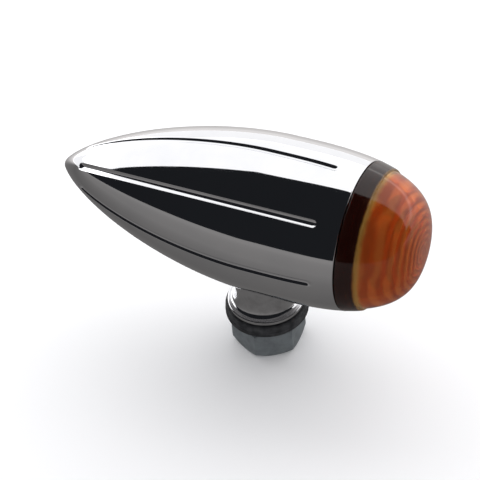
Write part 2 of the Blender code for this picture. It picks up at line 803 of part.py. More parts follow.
def main():
    clear_scene()
    housing()
    stem()
    stem_gasket()
    hollow_bolt()
    lock_washer()
    wire_grommet()
    reflector()
    for index, side in enumerate(SCREW_SIDES, 1):
        reflector_screw(index, side)
    socket_shell()
    socket_clip()
    terminal_board()
    feed_terminal()
    ground_terminal()
    contact_spring()

    contact_slide = joint_empty("contact_slide", (0, 0, AXIS_Z))
    contact_disc(contact_slide)
    contact_button(contact_slide)

    bulb_turn = joint_empty("bulb_turn", (0, 0, 0), contact_slide)
    bulb_base(bulb_turn)
    bulb_insulator(bulb_turn)
    bulb_contact(bulb_turn)
    bulb_glass(bulb_turn)
    bulb_mount(bulb_turn)
    for index, side in enumerate((1, -1), 1):
        bulb_support(index, side, bulb_turn)
    bulb_filament(bulb_turn)

    lens_pull = joint_empty("lens_pull", (0, 0, AXIS_Z))
    lens(lens_pull)
    lens_seal(lens_pull)

    washer_drop = joint_empty("washer_drop", (0, 0, WASHER_Z))
    rubber_washer(washer_drop)
    nut_turn = joint_empty("nut_turn", (0, 0, NUT_Z - WASHER_Z), washer_drop)
    hex_nut(nut_turn)


main()
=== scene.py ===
"""Fluted bullet turn signal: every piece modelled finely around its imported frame, with finishes and a studio.

Units are metres. +X runs along the body towards the lens and +Z points up. The origin is the centre of the
neck flange's underside, on the mounting bolt's axis.
"""

import json
import math

import bpy
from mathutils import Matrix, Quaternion, Vector

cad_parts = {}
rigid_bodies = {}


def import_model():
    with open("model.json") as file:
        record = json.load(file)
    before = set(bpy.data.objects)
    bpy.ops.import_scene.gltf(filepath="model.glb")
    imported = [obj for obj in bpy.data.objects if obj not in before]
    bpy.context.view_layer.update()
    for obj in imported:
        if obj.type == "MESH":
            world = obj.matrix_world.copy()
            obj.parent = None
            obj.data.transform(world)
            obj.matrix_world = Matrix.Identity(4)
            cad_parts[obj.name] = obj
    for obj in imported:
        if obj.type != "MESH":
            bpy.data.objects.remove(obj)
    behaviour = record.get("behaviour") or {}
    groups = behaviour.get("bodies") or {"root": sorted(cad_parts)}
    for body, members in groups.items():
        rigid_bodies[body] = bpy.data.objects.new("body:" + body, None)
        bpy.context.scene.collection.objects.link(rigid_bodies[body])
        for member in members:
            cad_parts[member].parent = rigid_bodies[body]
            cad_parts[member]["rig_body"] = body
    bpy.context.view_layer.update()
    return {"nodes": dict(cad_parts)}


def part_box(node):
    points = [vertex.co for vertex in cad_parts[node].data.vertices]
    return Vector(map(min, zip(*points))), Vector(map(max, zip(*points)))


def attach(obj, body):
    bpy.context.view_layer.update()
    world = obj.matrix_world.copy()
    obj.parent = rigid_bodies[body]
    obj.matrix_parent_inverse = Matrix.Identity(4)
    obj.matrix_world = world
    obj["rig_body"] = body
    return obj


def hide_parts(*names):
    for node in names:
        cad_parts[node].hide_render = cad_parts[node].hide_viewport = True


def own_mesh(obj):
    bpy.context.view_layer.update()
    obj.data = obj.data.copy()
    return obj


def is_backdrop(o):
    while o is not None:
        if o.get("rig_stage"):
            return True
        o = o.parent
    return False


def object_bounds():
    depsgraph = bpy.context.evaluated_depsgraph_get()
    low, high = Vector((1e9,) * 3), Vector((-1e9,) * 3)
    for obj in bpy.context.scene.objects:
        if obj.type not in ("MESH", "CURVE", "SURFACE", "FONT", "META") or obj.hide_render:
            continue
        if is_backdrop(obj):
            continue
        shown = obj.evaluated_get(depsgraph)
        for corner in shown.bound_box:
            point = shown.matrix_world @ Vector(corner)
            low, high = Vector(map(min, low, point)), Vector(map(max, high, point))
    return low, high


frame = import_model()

bl_info = {
    "name": "Bullet Turn Signal",
    "version": (1, 0, 0),
    "blender": (4, 5, 0),
    "location": "3D View > Sidebar > Signal",
    "description": "Builds the pieces, finishes and studio of a fluted bullet turn signal",
    "category": "Add Mesh",
}

MM = 0.001
FULL_TURN = 2 * math.pi
X, Y, Z = 0, 1, 2
MERGE_DISTANCE = 2e-6  # corners closer than this are one corner


def low(node, axis):
    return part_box(node)[0][axis]


def high(node, axis):
    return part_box(node)[1][axis]


def half_span(node, axis):
    return (high(node, axis) - low(node, axis)) / 2


# ---- places taken from the frame
AXIS_Z = (low("lens", Z) + high("lens", Z)) / 2
NOSE_TIP_X, SEAM_X = low("housing", X), high("housing", X)
LENS_TOP_X = high("lens", X)
NECK_FLANGE_RADIUS = half_span("stem", X)
WASHER_LOW, WASHER_HIGH = low("rubber_washer", Z), high("rubber_washer", Z)
NUT_LOW, NUT_HIGH = low("hex_nut", Z), high("hex_nut", Z)
BOLT_LOW, BOLT_HIGH = low("hollow_bolt", Z), high("hollow_bolt", Z)
BOLT_HEAD_LOW = high("lock_washer", Z) + 0.3 * MM
POCKET_Z = low("lock_washer", Z) - 0.3 * MM
REFLECTOR_BACK_X, REFLECTOR_FRONT_X = low("reflector", X), high("reflector", X)
SOCKET_BACK_X, SOCKET_FRONT_X = low("socket_shell", X), high("socket_shell", X)
SOCKET_RADIUS = half_span("socket_shell", Z)
BULB_END_X, BULB_TIP_X = low("bulb_contact", X), high("bulb_glass", X)
BAYONET_PIN_X = BULB_END_X + 6.7 * MM
CONTACT_TRAVEL = 2.5 * MM

# ---- the bullet outline
BODY_RADIUS = 22.225 * MM
WIDEST_X = 4.2 * MM
NOSE_LENGTH, TAIL_LENGTH = WIDEST_X - NOSE_TIP_X, LENS_TOP_X - WIDEST_X
NOSE_FULLNESS, NOSE_ROUNDNESS = 1.75, 0.73
TAIL_FULLNESS, TAIL_ROUNDNESS = 3.05, 0.32
TIP_BLEND = 1.0 * MM  # the last stretch of the nose, which a ball rounds off
COLLAR_END_X = 35.3 * MM
DOME_STEP = 0.5 * MM  # how far the dome stands in from the collar
SEAL_X = 27.2 * MM
MOUTH_RADIUS = 18.8 * MM
SHOULDER_X = 20.7 * MM
CAVITY_RADIUS = 17.0 * MM
CAVITY_END_X = -51.0 * MM
CAVITY_TAPER_X = -18.0 * MM
NOSE_WALL = 2.8 * MM
SCREW_CIRCLE = 16.5 * MM
SKIN_TOLERANCE = 0.2 * MM  # a corner this near the bullet's outline is on its skin

FLUTE_SPACING = 45  # degrees about the body axis, with one flute at the top and none over the neck
FLUTE_COUNT = 7
FLUTE_START_X, FLUTE_END_X = -52.5 * MM, 24.2 * MM
# columns of mesh in a flute, between two flutes and underneath
FLUTE_COLUMNS, LAND_COLUMNS, BOTTOM_COLUMNS = 20, 10, 24
FLUTE_MARGIN = FLUTE_COLUMNS / (FLUTE_COLUMNS - 4)  # puts a column on each lip of the flute

BOLT_CLEARANCE = 6.4 * MM
BOLT_BORE = 4.2 * MM
THREAD_RADIUS = 6.0 * MM
POCKET_RADIUS = 9.6 * MM
NECK_RADIUS = 8.75 * MM
FLARE_TOP_Z = 6.2 * MM
GASKET_THICKNESS = 0.7 * MM
TOUCH_GAP = 0.3 * MM


class SignalSizes(bpy.types.PropertyGroup):
    """Sizes of the fine detail, which the frame leaves plain."""

    flute_width: bpy.props.FloatProperty(
        name="Flute width",
        description="Width of each groove along the body",
        default=2.1 * MM,
        unit="LENGTH",
    )
    flute_depth: bpy.props.FloatProperty(
        name="Flute depth",
        description="Depth of each groove at its middle",
        default=0.62 * MM,
        unit="LENGTH",
    )
    thread_pitch: bpy.props.FloatProperty(
        name="Thread pitch",
        description="Rise of the bolt's thread in one turn",
        default=1.5 * MM,
        unit="LENGTH",
    )
    thread_depth: bpy.props.FloatProperty(
        name="Thread depth",
        description="Depth of the bolt's thread",
        default=0.8 * MM,
        unit="LENGTH",
    )
    thread_play: bpy.props.FloatProperty(
        name="Thread play",
        description="Radial gap between bolt and nut",
        default=0.2 * MM,
        unit="LENGTH",
    )
    nut_across_flats: bpy.props.FloatProperty(
        name="Nut across flats",
        description="Width of the nut",
        default=19.05 * MM,
        unit="LENGTH",
    )
    nut_turn: bpy.props.FloatProperty(
        name="Nut turn",
        description="How far the nut's flats are turned",
        default=math.radians(3),
        subtype="ANGLE",
    )
    lens_ring_pitch: bpy.props.FloatProperty(
        name="Lens ring pitch",
        description="Spacing of the rings inside the dome",
        default=1.7 * MM,
        unit="LENGTH",
    )
    lens_ring_height: bpy.props.FloatProperty(
        name="Lens ring height",
        description="Height of the rings inside the dome",
        default=0.45 * MM,
        unit="LENGTH",
    )
    edge_round: bpy.props.FloatProperty(
        name="Edge rounding",
        description="Width of the rounding on machined edges",
        default=0.12 * MM,
        unit="LENGTH",
    )


class SignalColours(bpy.types.PropertyGroup):
    """Colours of the finishes."""

    chrome: bpy.props.FloatVectorProperty(
        name="Chrome",
        description="Tint of the chrome plate",
        default=(0.80, 0.80, 0.82),
        subtype="COLOR",
    )
    amber: bpy.props.FloatVectorProperty(
        name="Amber",
        description="Colour of the lens",
        default=(0.95, 0.235, 0.04),
        subtype="COLOR",
    )
    # The collar's colour: partly the thick amber's own depth, partly painted shade standing for the dark inside
    # seen through the wall.
    collar_amber_and_painted_shade: bpy.props.FloatVectorProperty(
        name="Collar amber",
        description="Colour of the thick lens collar",
        default=(0.055, 0.014, 0.008),
        subtype="COLOR",
    )
    rubber: bpy.props.FloatVectorProperty(
        name="Rubber",
        description="Colour of the rubber pieces",
        default=(0.017, 0.018, 0.021),
        subtype="COLOR",
    )
    zinc: bpy.props.FloatVectorProperty(
        name="Zinc",
        description="Colour of the nut's zinc plate",
        default=(0.33, 0.365, 0.39),
        subtype="COLOR",
    )
    brass: bpy.props.FloatVectorProperty(
        name="Brass",
        description="Colour of the bulb cap and contacts",
        default=(0.78, 0.58, 0.26),
        subtype="COLOR",
    )
    floor: bpy.props.FloatVectorProperty(
        name="Floor",
        description="Colour of the studio floor",
        default=(0.93, 0.93, 0.94),
        subtype="COLOR",
    )


class StudioSettings(bpy.types.PropertyGroup):
    """Camera and light of the studio."""

    azimuth: bpy.props.FloatProperty(
        name="Azimuth",
        description="Camera angle round the signal",
        default=math.radians(28.9),
        subtype="ANGLE",
    )
    elevation: bpy.props.FloatProperty(
        name="Elevation",
        description="Camera angle above the floor",
        default=math.radians(42.8),
        subtype="ANGLE",
    )
    roll: bpy.props.FloatProperty(
        name="Roll",
        description="Camera turn about its own axis",
        default=math.radians(-6.1),
        subtype="ANGLE",
    )
    distance: bpy.props.FloatProperty(
        name="Distance",
        description="Camera distance from the signal's middle",
        default=0.395,
        unit="LENGTH",
    )
    focal_length: bpy.props.FloatProperty(
        name="Focal length",
        description="Lens of the camera in millimetres",
        default=105.0,
    )
    top_light: bpy.props.FloatProperty(
        name="Top light",
        description="Brightness of the panel overhead",
        default=1.25,
    )
    back_light: bpy.props.FloatProperty(
        name="Back light",
        description="Brightness of the panel behind",
        default=1.15,
    )


# ---- outlines


def bullet_radius(x):
    """Outer radius of the bullet shape at a distance x along its axis."""
    if x < WIDEST_X:
        share = min((WIDEST_X - x) / NOSE_LENGTH, 1.0)
        return BODY_RADIUS * (1 - share**NOSE_FULLNESS) ** NOSE_ROUNDNESS
    share = min((x - WIDEST_X) / TAIL_LENGTH, 1.0)
    return BODY_RADIUS * (1 - share**TAIL_FULLNESS) ** TAIL_ROUNDNESS


DOME_SHARE = (bullet_radius(COLLAR_END_X) - DOME_STEP) / bullet_radius(COLLAR_END_X)


def dome_place(radius):
    """Where along the axis the lens dome has this radius."""
    grown = min(radius / DOME_SHARE / BODY_RADIUS, 1.0)
    return WIDEST_X + TAIL_LENGTH * (1 - grown ** (1 / TAIL_ROUNDNESS)) ** (1 / TAIL_FULLNESS)


def arc(radius, place, size, first, last, steps=5):
    """Outline points on a small arc. Angles are in degrees from outward, turning towards the far end."""
    points = []
    for step in range(steps + 1):
        angle = math.radians(first + (last - first) * step / steps)
        points.append((radius + size * math.cos(angle), place + size * math.sin(angle)))
    return points


def band(inner, outer, first, last):
    """Outline of a plain ring between two places along the axis, or of a rod if its inner radius is 0."""
    return [(inner, first), (outer, first), (outer, last), (inner, last)]


def domed(radius, base, rise, steps):
    """Outline points of a low dome, from its rim to its top on the axis."""
    points = []
    for step in range(steps):
        angle = math.pi / 2 * step / steps
        points.append((radius * math.cos(angle), base + rise * math.sin(angle)))
    points.append((0, base + rise))
    return points


def flared(foot_radius, neck_radius, foot, top, steps):
    """Outline points of a trumpet's flare, from its wide foot up to its neck."""
    points = []
    for step in range(steps + 1):
        angle = math.pi / 2 * step / steps
        radius = neck_radius + (foot_radius - neck_radius) * (1 - math.sin(angle))
        points.append((radius, foot + (top - foot) * (1 - math.cos(angle))))
    return points


def helix(start, end, radius, turns, steps_per_turn=24):
    """Points of a coil round the body axis, between two places on it."""
    points = []
    for step in range(int(turns * steps_per_turn) + 1):
        angle = FULL_TURN * step / steps_per_turn
        share = step / (turns * steps_per_turn)
        x = start + (end - start) * share
        points.append(Vector((x, radius * math.cos(angle), AXIS_Z + radius * math.sin(angle))))
    return points


# ---- modelling helpers


def deselect_all():
    if bpy.context.object and bpy.context.object.mode != "OBJECT":
        bpy.ops.object.mode_set(mode="OBJECT")
    bpy.ops.object.select_all(action="DESELECT")


def make_active(piece):
    deselect_all()
    piece.select_set(True)
    bpy.context.view_layer.objects.active = piece


def apply_modifier(piece, kind, **settings):
    """Adds a modifier with these settings and applies it."""
    make_active(piece)
    modifier = piece.modifiers.new(kind.title(), kind)
    for name, value in settings.items():
        setattr(modifier, name, value)
    bpy.ops.object.modifier_apply(modifier=modifier.name)


def close_up(piece, fill=False):
    """Merges doubled corners, fills open ends if asked, and turns every face outwards."""
    make_active(piece)
    bpy.ops.object.mode_set(mode="EDIT")
    bpy.ops.mesh.select_all(action="SELECT")
    bpy.ops.mesh.remove_doubles(threshold=MERGE_DISTANCE)
    if fill:
        bpy.ops.mesh.fill_holes(sides=0)
    bpy.ops.mesh.normals_make_consistent(inside=False)
    bpy.ops.object.mode_set(mode="OBJECT")


def drop_in_place(piece, location=(0, 0, 0), rotation=(0, 0, 0)):
    """Moves the piece and keeps its object at the origin, so its place is in its mesh."""
    make_active(piece)
    piece.location = location
    piece.rotation_euler = rotation
    bpy.ops.object.transform_apply(location=True, rotation=True, scale=True)


def turned(name, outline, along=X, steps=96, at=None, sweep=FULL_TURN, start=0.0):
    """Draws an outline of (radius, place) points, corner by corner, and turns it on a lathe.

    The outline is a loop, unless both of its ends are on the axis. A sweep that isn't a full turn gets
    closed ends.
    """
    deselect_all()
    outward = Vector((0, 0, -1)) if along == X else Vector((1, 0, 0))
    axis = Vector((1, 0, 0)) if along == X else Vector((0, 0, 1))
    corners = [outward * radius + axis * place for radius, place in outline]
    bpy.ops.mesh.primitive_plane_add(size=MM)
    piece = bpy.context.object
    piece.name = name
    bpy.ops.object.mode_set(mode="EDIT")
    bpy.ops.mesh.select_mode(type="VERT")
    bpy.ops.mesh.merge(type="CENTER")
    bpy.ops.transform.translate(value=corners[0])
    for before, after in zip(corners, corners[1:]):
        bpy.ops.mesh.extrude_region_move(TRANSFORM_OT_translate={"value": after - before})
    if outline[0][0] > 0 or outline[-1][0] > 0:
        bpy.ops.mesh.extrude_region_move(TRANSFORM_OT_translate={"value": corners[0] - corners[-1]})
    bpy.ops.object.mode_set(mode="OBJECT")
    full = sweep >= FULL_TURN
    apply_modifier(
        piece,
        "SCREW",
        axis="X" if along == X else "Z",
        angle=sweep,
        steps=steps,
        render_steps=steps,
        use_merge_vertices=True,
        merge_threshold=MERGE_DISTANCE / 2,
    )
    close_up(piece, fill=not full)
    at = at or ((0, 0, AXIS_Z) if along == X else (0, 0, 0))
    turn = (start, 0, 0) if along == X else (0, 0, start)
    drop_in_place(piece, at, turn)
    return piece


def block(name, low_corner, high_corner):
    """A cube primitive stretched between two corners."""
    deselect_all()
    low_corner, high_corner = Vector(low_corner), Vector(high_corner)
    bpy.ops.mesh.primitive_cube_add(size=1, location=(low_corner + high_corner) / 2)
    piece = bpy.context.object
    piece.name = name
    piece.scale = high_corner - low_corner
    bpy.ops.object.transform_apply(location=True, rotation=True, scale=True)
    return piece


def bent_wire(name, points, radius, sides=5):
    """A round wire through the points, with its ends closed."""
    deselect_all()
    path = bpy.data.curves.new(name, "CURVE")
    path.dimensions = "3D"
    path.bevel_depth = radius
    path.bevel_resolution = sides
    path.use_fill_caps = True
    spline = path.splines.new("POLY")
    spline.points.add(len(points) - 1)
    for slot, point in zip(spline.points, points):
        slot.co = (*point, 1)
    piece = bpy.data.objects.new(name, path)
    bpy.context.scene.collection.objects.link(piece)
    make_active(piece)
    bpy.ops.object.convert(target="MESH")
    close_up(bpy.context.object)
    return bpy.context.object


def join(pieces):
    """Joins separate bodies into the first of them."""
    deselect_all()
    for piece in pieces:
        piece.select_set(True)
    bpy.context.view_layer.objects.active = pieces[0]
    bpy.ops.object.join()
    return pieces[0]


def combine(piece, other, operation="DIFFERENCE"):
    """Cuts another piece away, or merges it in, and removes it."""
    apply_modifier(piece, "BOOLEAN", operation=operation, object=other, solver="EXACT")
    bpy.data.objects.remove(other, do_unlink=True)


def press(piece, depth, share):
    """Pushes the surface in along its own normals, by depth times share(point)."""
    group = piece.vertex_groups.new(name="pressed")
    for vert in piece.data.vertices:
        weight = share(vert.co)
        if weight > 0:
            group.add([vert.index], weight, "REPLACE")
    apply_modifier(
        piece, "DISPLACE", direction="NORMAL", mid_level=0.0, strength=-depth, vertex_group=group.name
    )
    piece.vertex_groups.clear()


def finish_edges(piece, width=None, segments=2, smooth=35):
    """Rounds the sharp edges, and shades smooth what meets at less than some degrees."""
    width = bpy.context.scene.signal_sizes.edge_round if width is None else width
    make_active(piece)
    if width > 0:
        apply_modifier(
            piece,
            "BEVEL",
            width=width,
            segments=segments,
            limit_method="ANGLE",
            angle_limit=math.radians(30),
            use_clamp_overlap=True,
            miter_outer="MITER_ARC",
        )
    bpy.ops.object.shade_smooth_by_angle(angle=math.radians(smooth))
    if width > 0:
        apply_modifier(piece, "WEIGHTED_NORMAL", keep_sharp=True)
    return piece


def thread_share(point):
    """How far the thread's groove is open at a point round the bolt's axis: 1 at the root, 0 at the crest."""
    pitch = bpy.context.scene.signal_sizes.thread_pitch
    phase = (point.z / pitch - math.atan2(point.y, point.x) / FULL_TURN) % 1.0
    flank_slope, crest_share = 1.35, 0.18
    return min(max(flank_slope * abs(2 * phase - 1) - crest_share, 0.0), 1.0)


def draw_to(piece, radius_at):
    """Draws each corner of a piece turned about Z to the radius that radius_at(place, radius) gives."""
    for vert in piece.data.vertices:
        radius = math.hypot(vert.co.x, vert.co.y)
        share = radius_at(vert.co, radius) / radius
        vert.co.x *= share
        vert.co.y *= share


def make_hexagonal(piece, across_flats, turn, bottom, top, chamfer_radius, corner_radius, rise):
    """Draws the round rim of a turned blank in to six flats, whose ends stay on the chamfer's cone."""
    flat = across_flats / 2
    sixth = math.radians(60)
    slack, rim_slack = 0.001 * MM, 0.01 * MM
    for vert in piece.data.vertices:
        radius = math.hypot(vert.co.x, vert.co.y)
        if not bottom - slack < vert.co.z < top + slack or radius < chamfer_radius + rim_slack:
            continue
        angle = math.atan2(vert.co.y, vert.co.x)
        off_flat = (angle - turn + sixth / 2) % sixth - sixth / 2
        wanted = min(flat / math.cos(off_flat), corner_radius)
        share = (wanted - chamfer_radius) / (corner_radius - chamfer_radius)
        vert.co.x *= wanted / radius
        vert.co.y *= wanted / radius
        if vert.co.z < (bottom + top) / 2:
            vert.co.z = bottom + rise * share
        else:
            vert.co.z = top - rise * share


# ---- finishes


class Finish:
    """A material under construction: a Principled shader fed by patterns in the piece's own coordinates."""

    def __init__(self, name, colour, roughness, metallic=0.0):
        self.material = bpy.data.materials.new(name)
        self.material.use_nodes = True
        self.nodes = self.material.node_tree.nodes
        self.links = self.material.node_tree.links
        self.shader = self.nodes["Principled BSDF"]
        self.colour = (*colour[:3], 1)
        self.set("Base Color", self.colour)
        self.set("Roughness", roughness)
        self.set("Metallic", metallic)
        self.place = self.nodes.new("ShaderNodeTexCoord").outputs["Object"]
        self.height = None

    def set(self, socket, value):
        self.shader.inputs[socket].default_value = value

    def node(self, kind, **inputs):
        made = self.nodes.new(kind)
        for socket, value in inputs.items():
            made.inputs[socket.replace("_", " ")].default_value = value
        return made

    def noise(self, scale, detail=4.0, stretch=(1, 1, 1)):
        """Noise in the piece's own coordinates, with features of about 1/scale metres."""
        mapping = self.node("ShaderNodeMapping", Scale=stretch)
        self.links.new(self.place, mapping.inputs["Vector"])
        pattern = self.node("ShaderNodeTexNoise", Scale=scale, Detail=detail, Roughness=0.6)
        self.links.new(mapping.outputs["Vector"], pattern.inputs["Vector"])
        return pattern.outputs["Fac"]

    def rings(self, scale, direction="X", centre=(0, 0, 0), distortion=0.6, kind="BANDS"):
        """Fine turning marks across an axis, or rings round it."""
        mapping = self.node("ShaderNodeMapping", Location=tuple(-value for value in centre))
        self.links.new(self.place, mapping.inputs["Vector"])
        pattern = self.node("ShaderNodeTexWave", Scale=scale, Distortion=distortion, Detail=2.0)
        pattern.wave_type = kind
        pattern.bands_direction = direction
        pattern.rings_direction = direction
        self.links.new(mapping.outputs["Vector"], pattern.inputs["Vector"])
        return pattern.outputs["Fac"]

    def span(self, value, low_value, high_value, start=0.3, end=0.7):
        """Maps a pattern to a range of numbers."""
        ranged = self.node("ShaderNodeMapRange", From_Min=start, From_Max=end)
        ranged.inputs["To Min"].default_value = low_value
        ranged.inputs["To Max"].default_value = high_value
        self.links.new(value, ranged.inputs["Value"])
        return ranged.outputs["Result"]

    def roughen(self, value, low_value, high_value, start=0.3, end=0.7):
        self.links.new(self.span(value, low_value, high_value, start, end), self.shader.inputs["Roughness"])
        return self

    def tint(self, value, other, start=0.35, end=0.65):
        """Blends the colour towards another one where the pattern is strong."""
        ramp = self.nodes.new("ShaderNodeValToRGB")
        ramp.color_ramp.elements[0].position = start
        ramp.color_ramp.elements[1].position = end
        ramp.color_ramp.elements[0].color = self.colour
        ramp.color_ramp.elements[1].color = (*other, 1)
        self.links.new(value, ramp.inputs["Fac"])
        self.links.new(ramp.outputs["Color"], self.shader.inputs["Base Color"])
        return self

    def bump(self, value, strength, distance):
        """Adds relief from a pattern on top of any relief already there."""
        relief = self.node("ShaderNodeBump", Strength=strength, Distance=distance)
        self.links.new(value, relief.inputs["Height"])
        if self.height:
            self.links.new(self.height, relief.inputs["Normal"])
        self.height = relief.outputs["Normal"]
        self.links.new(self.height, self.shader.inputs["Normal"])
        return self


def finish(name):
    """The named finish, made once."""
    if name not in bpy.data.materials:
        FINISHES[name](name)
    return bpy.data.materials[name]


def chrome_plate(name):
    """Bright plate over a polished casting: faint waves, and a haze of polishing marks."""
    colours = bpy.context.scene.signal_colours
    plate = Finish(name, colours.chrome, 0.03, 1.0)
    plate.roughen(plate.noise(420, 6, (1, 3, 3)), 0.015, 0.06)
    plate.tint(plate.noise(60, 3), (0.74, 0.745, 0.77), 0.45, 0.8)
    plate.bump(plate.noise(120, 2), 0.05, 0.00002)
    plate.bump(plate.noise(9000, 3), 0.02, 0.000004)


def worn_chrome(name):
    """The neck's plate, a little duller than the body's, with cast texture in the flare."""
    colours = bpy.context.scene.signal_colours
    plate = Finish(name, colours.chrome, 0.07, 1.0)
    plate.roughen(plate.noise(600, 6), 0.04, 0.16)
    plate.tint(plate.noise(240, 4), (0.60, 0.60, 0.61), 0.4, 0.75)
    plate.bump(plate.noise(700, 4), 0.12, 0.00005)


def soft_rubber(name, grain, dust):
    """Moulded black rubber with a fine grain and a trace of grey bloom."""
    colours = bpy.context.scene.signal_colours
    rubber = Finish(name, colours.rubber, 0.55, 0.0)
    rubber.set("Specular IOR Level", 0.4)
    rubber.roughen(rubber.noise(900, 5), 0.42, 0.72)
    rubber.tint(rubber.noise(380, 6), [value + dust for value in colours.rubber], 0.42, 0.85)
    rubber.bump(rubber.noise(grain, 3), 0.35, 0.00004)


def dull_zinc(name):
    """Grey zinc plate on the nut, with a soft blue cast, spangle and rubbed spots."""
    colours = bpy.context.scene.signal_colours
    zinc = Finish(name, colours.zinc, 0.4, 0.7)
    zinc.roughen(zinc.noise(700, 6), 0.32, 0.58)
    zinc.tint(zinc.noise(300, 7), (0.22, 0.24, 0.255), 0.4, 0.75)
    zinc.bump(zinc.noise(1500, 5), 0.25, 0.00005)


def bolt_zinc(name):
    """Brighter zinc on the threaded bolt, with cutting marks round it."""
    bolt = Finish(name, (0.56, 0.56, 0.55), 0.3, 1.0)
    bolt.roughen(bolt.noise(900, 5), 0.2, 0.42)
    bolt.tint(bolt.noise(260, 5), (0.40, 0.40, 0.39), 0.42, 0.8)
    bolt.bump(bolt.rings(2600, "Z"), 0.12, 0.00002)


def spun_aluminium(name):
    """Bright reflector metal with spinning marks."""
    metal = Finish(name, (0.88, 0.88, 0.89), 0.12, 1.0)
    metal.roughen(metal.noise(500, 5), 0.07, 0.2)
    metal.tint(metal.noise(180, 4), (0.78, 0.78, 0.78), 0.45, 0.8)
    metal.bump(metal.rings(1500, "X"), 0.12, 0.00002)


def screw_steel(name):
    """Brushed steel of the small screws, with worn spots."""
    steel = Finish(name, (0.50, 0.50, 0.51), 0.28, 1.0)
    steel.roughen(steel.noise(1800, 5), 0.18, 0.42)
    steel.tint(steel.noise(900, 5), (0.36, 0.36, 0.37), 0.42, 0.8)
    steel.bump(steel.noise(5000, 3), 0.15, 0.00002)


def nickel_plate(name):
    """Warm nickel on pressed sheet, with drawing marks along the pressing."""
    nickel = Finish(name, (0.66, 0.63, 0.57), 0.24, 1.0)
    nickel.roughen(nickel.noise(700, 5, (0.3, 1, 1)), 0.16, 0.38)
    nickel.tint(nickel.noise(300, 5), (0.50, 0.47, 0.42), 0.42, 0.8)
    nickel.bump(nickel.noise(1800, 3, (0.15, 1, 1)), 0.15, 0.00003)


def spring_steel(name):
    """Grey spring steel, drawn smooth and darker in places."""
    steel = Finish(name, (0.42, 0.42, 0.43), 0.25, 1.0)
    steel.roughen(steel.noise(2500, 5), 0.16, 0.36)
    steel.tint(steel.noise(700, 4), (0.30, 0.29, 0.28), 0.45, 0.8)
    steel.bump(steel.noise(6000, 3), 0.12, 0.00001)


def fibre_sheet(name):
    """Brown vulcanised fibre with cloudy colour and a matt pressed surface."""
    fibre = Finish(name, (0.20, 0.085, 0.035), 0.65)
    fibre.roughen(fibre.noise(1500, 5), 0.5, 0.78)
    fibre.tint(fibre.noise(900, 7), (0.30, 0.15, 0.07), 0.35, 0.75)
    fibre.bump(fibre.noise(4000, 5), 0.35, 0.00003)


def brass(name):
    """Lacquered brass, darker where it has begun to tarnish."""
    colours = bpy.context.scene.signal_colours
    metal = Finish(name, colours.brass, 0.2, 1.0)
    metal.roughen(metal.noise(700, 6), 0.13, 0.34)
    metal.tint(metal.noise(350, 6), (0.56, 0.37, 0.13), 0.42, 0.8)
    metal.bump(metal.noise(2200, 3, (0.2, 1, 1)), 0.12, 0.00002)


def black_glass(name):
    """Opaque black glass with a slightly pitted skin."""
    glass = Finish(name, (0.012, 0.012, 0.018), 0.08)
    glass.roughen(glass.noise(1500, 4), 0.04, 0.2)
    glass.tint(glass.noise(800, 4), (0.03, 0.03, 0.045), 0.4, 0.8)
    glass.bump(glass.noise(1200, 3), 0.2, 0.00004)


def solder(name):
    """Dull solder, lumpy where it has set."""
    tin = Finish(name, (0.58, 0.58, 0.59), 0.35, 1.0)
    tin.roughen(tin.noise(2200, 6), 0.22, 0.5)
    tin.tint(tin.noise(1300, 5), (0.40, 0.40, 0.41), 0.4, 0.75)
    tin.bump(tin.noise(2600, 5), 0.4, 0.00005)


def bulb_glass_finish(name):
    """Clear blown glass with faint waves."""
    glass = Finish(name, (0.97, 0.985, 0.98), 0.01, 0.0)
    glass.set("Transmission Weight", 1.0)
    glass.set("IOR", 1.5)
    glass.roughen(glass.noise(500, 3), 0.0, 0.02)
    glass.bump(glass.noise(160, 2), 0.12, 0.00005)


def support_nickel(name):
    """Drawn nickel wire."""
    wire = Finish(name, (0.62, 0.60, 0.56), 0.3, 1.0)
    wire.roughen(wire.noise(4000, 4), 0.2, 0.42)
    wire.tint(wire.noise(2500, 4), (0.45, 0.43, 0.40), 0.42, 0.8)


def tungsten(name):
    """Dark tungsten wire."""
    wire = Finish(name, (0.24, 0.235, 0.23), 0.42, 1.0)
    wire.roughen(wire.noise(6000, 4), 0.32, 0.55)
    wire.tint(wire.noise(4000, 4), (0.14, 0.135, 0.13), 0.42, 0.8)


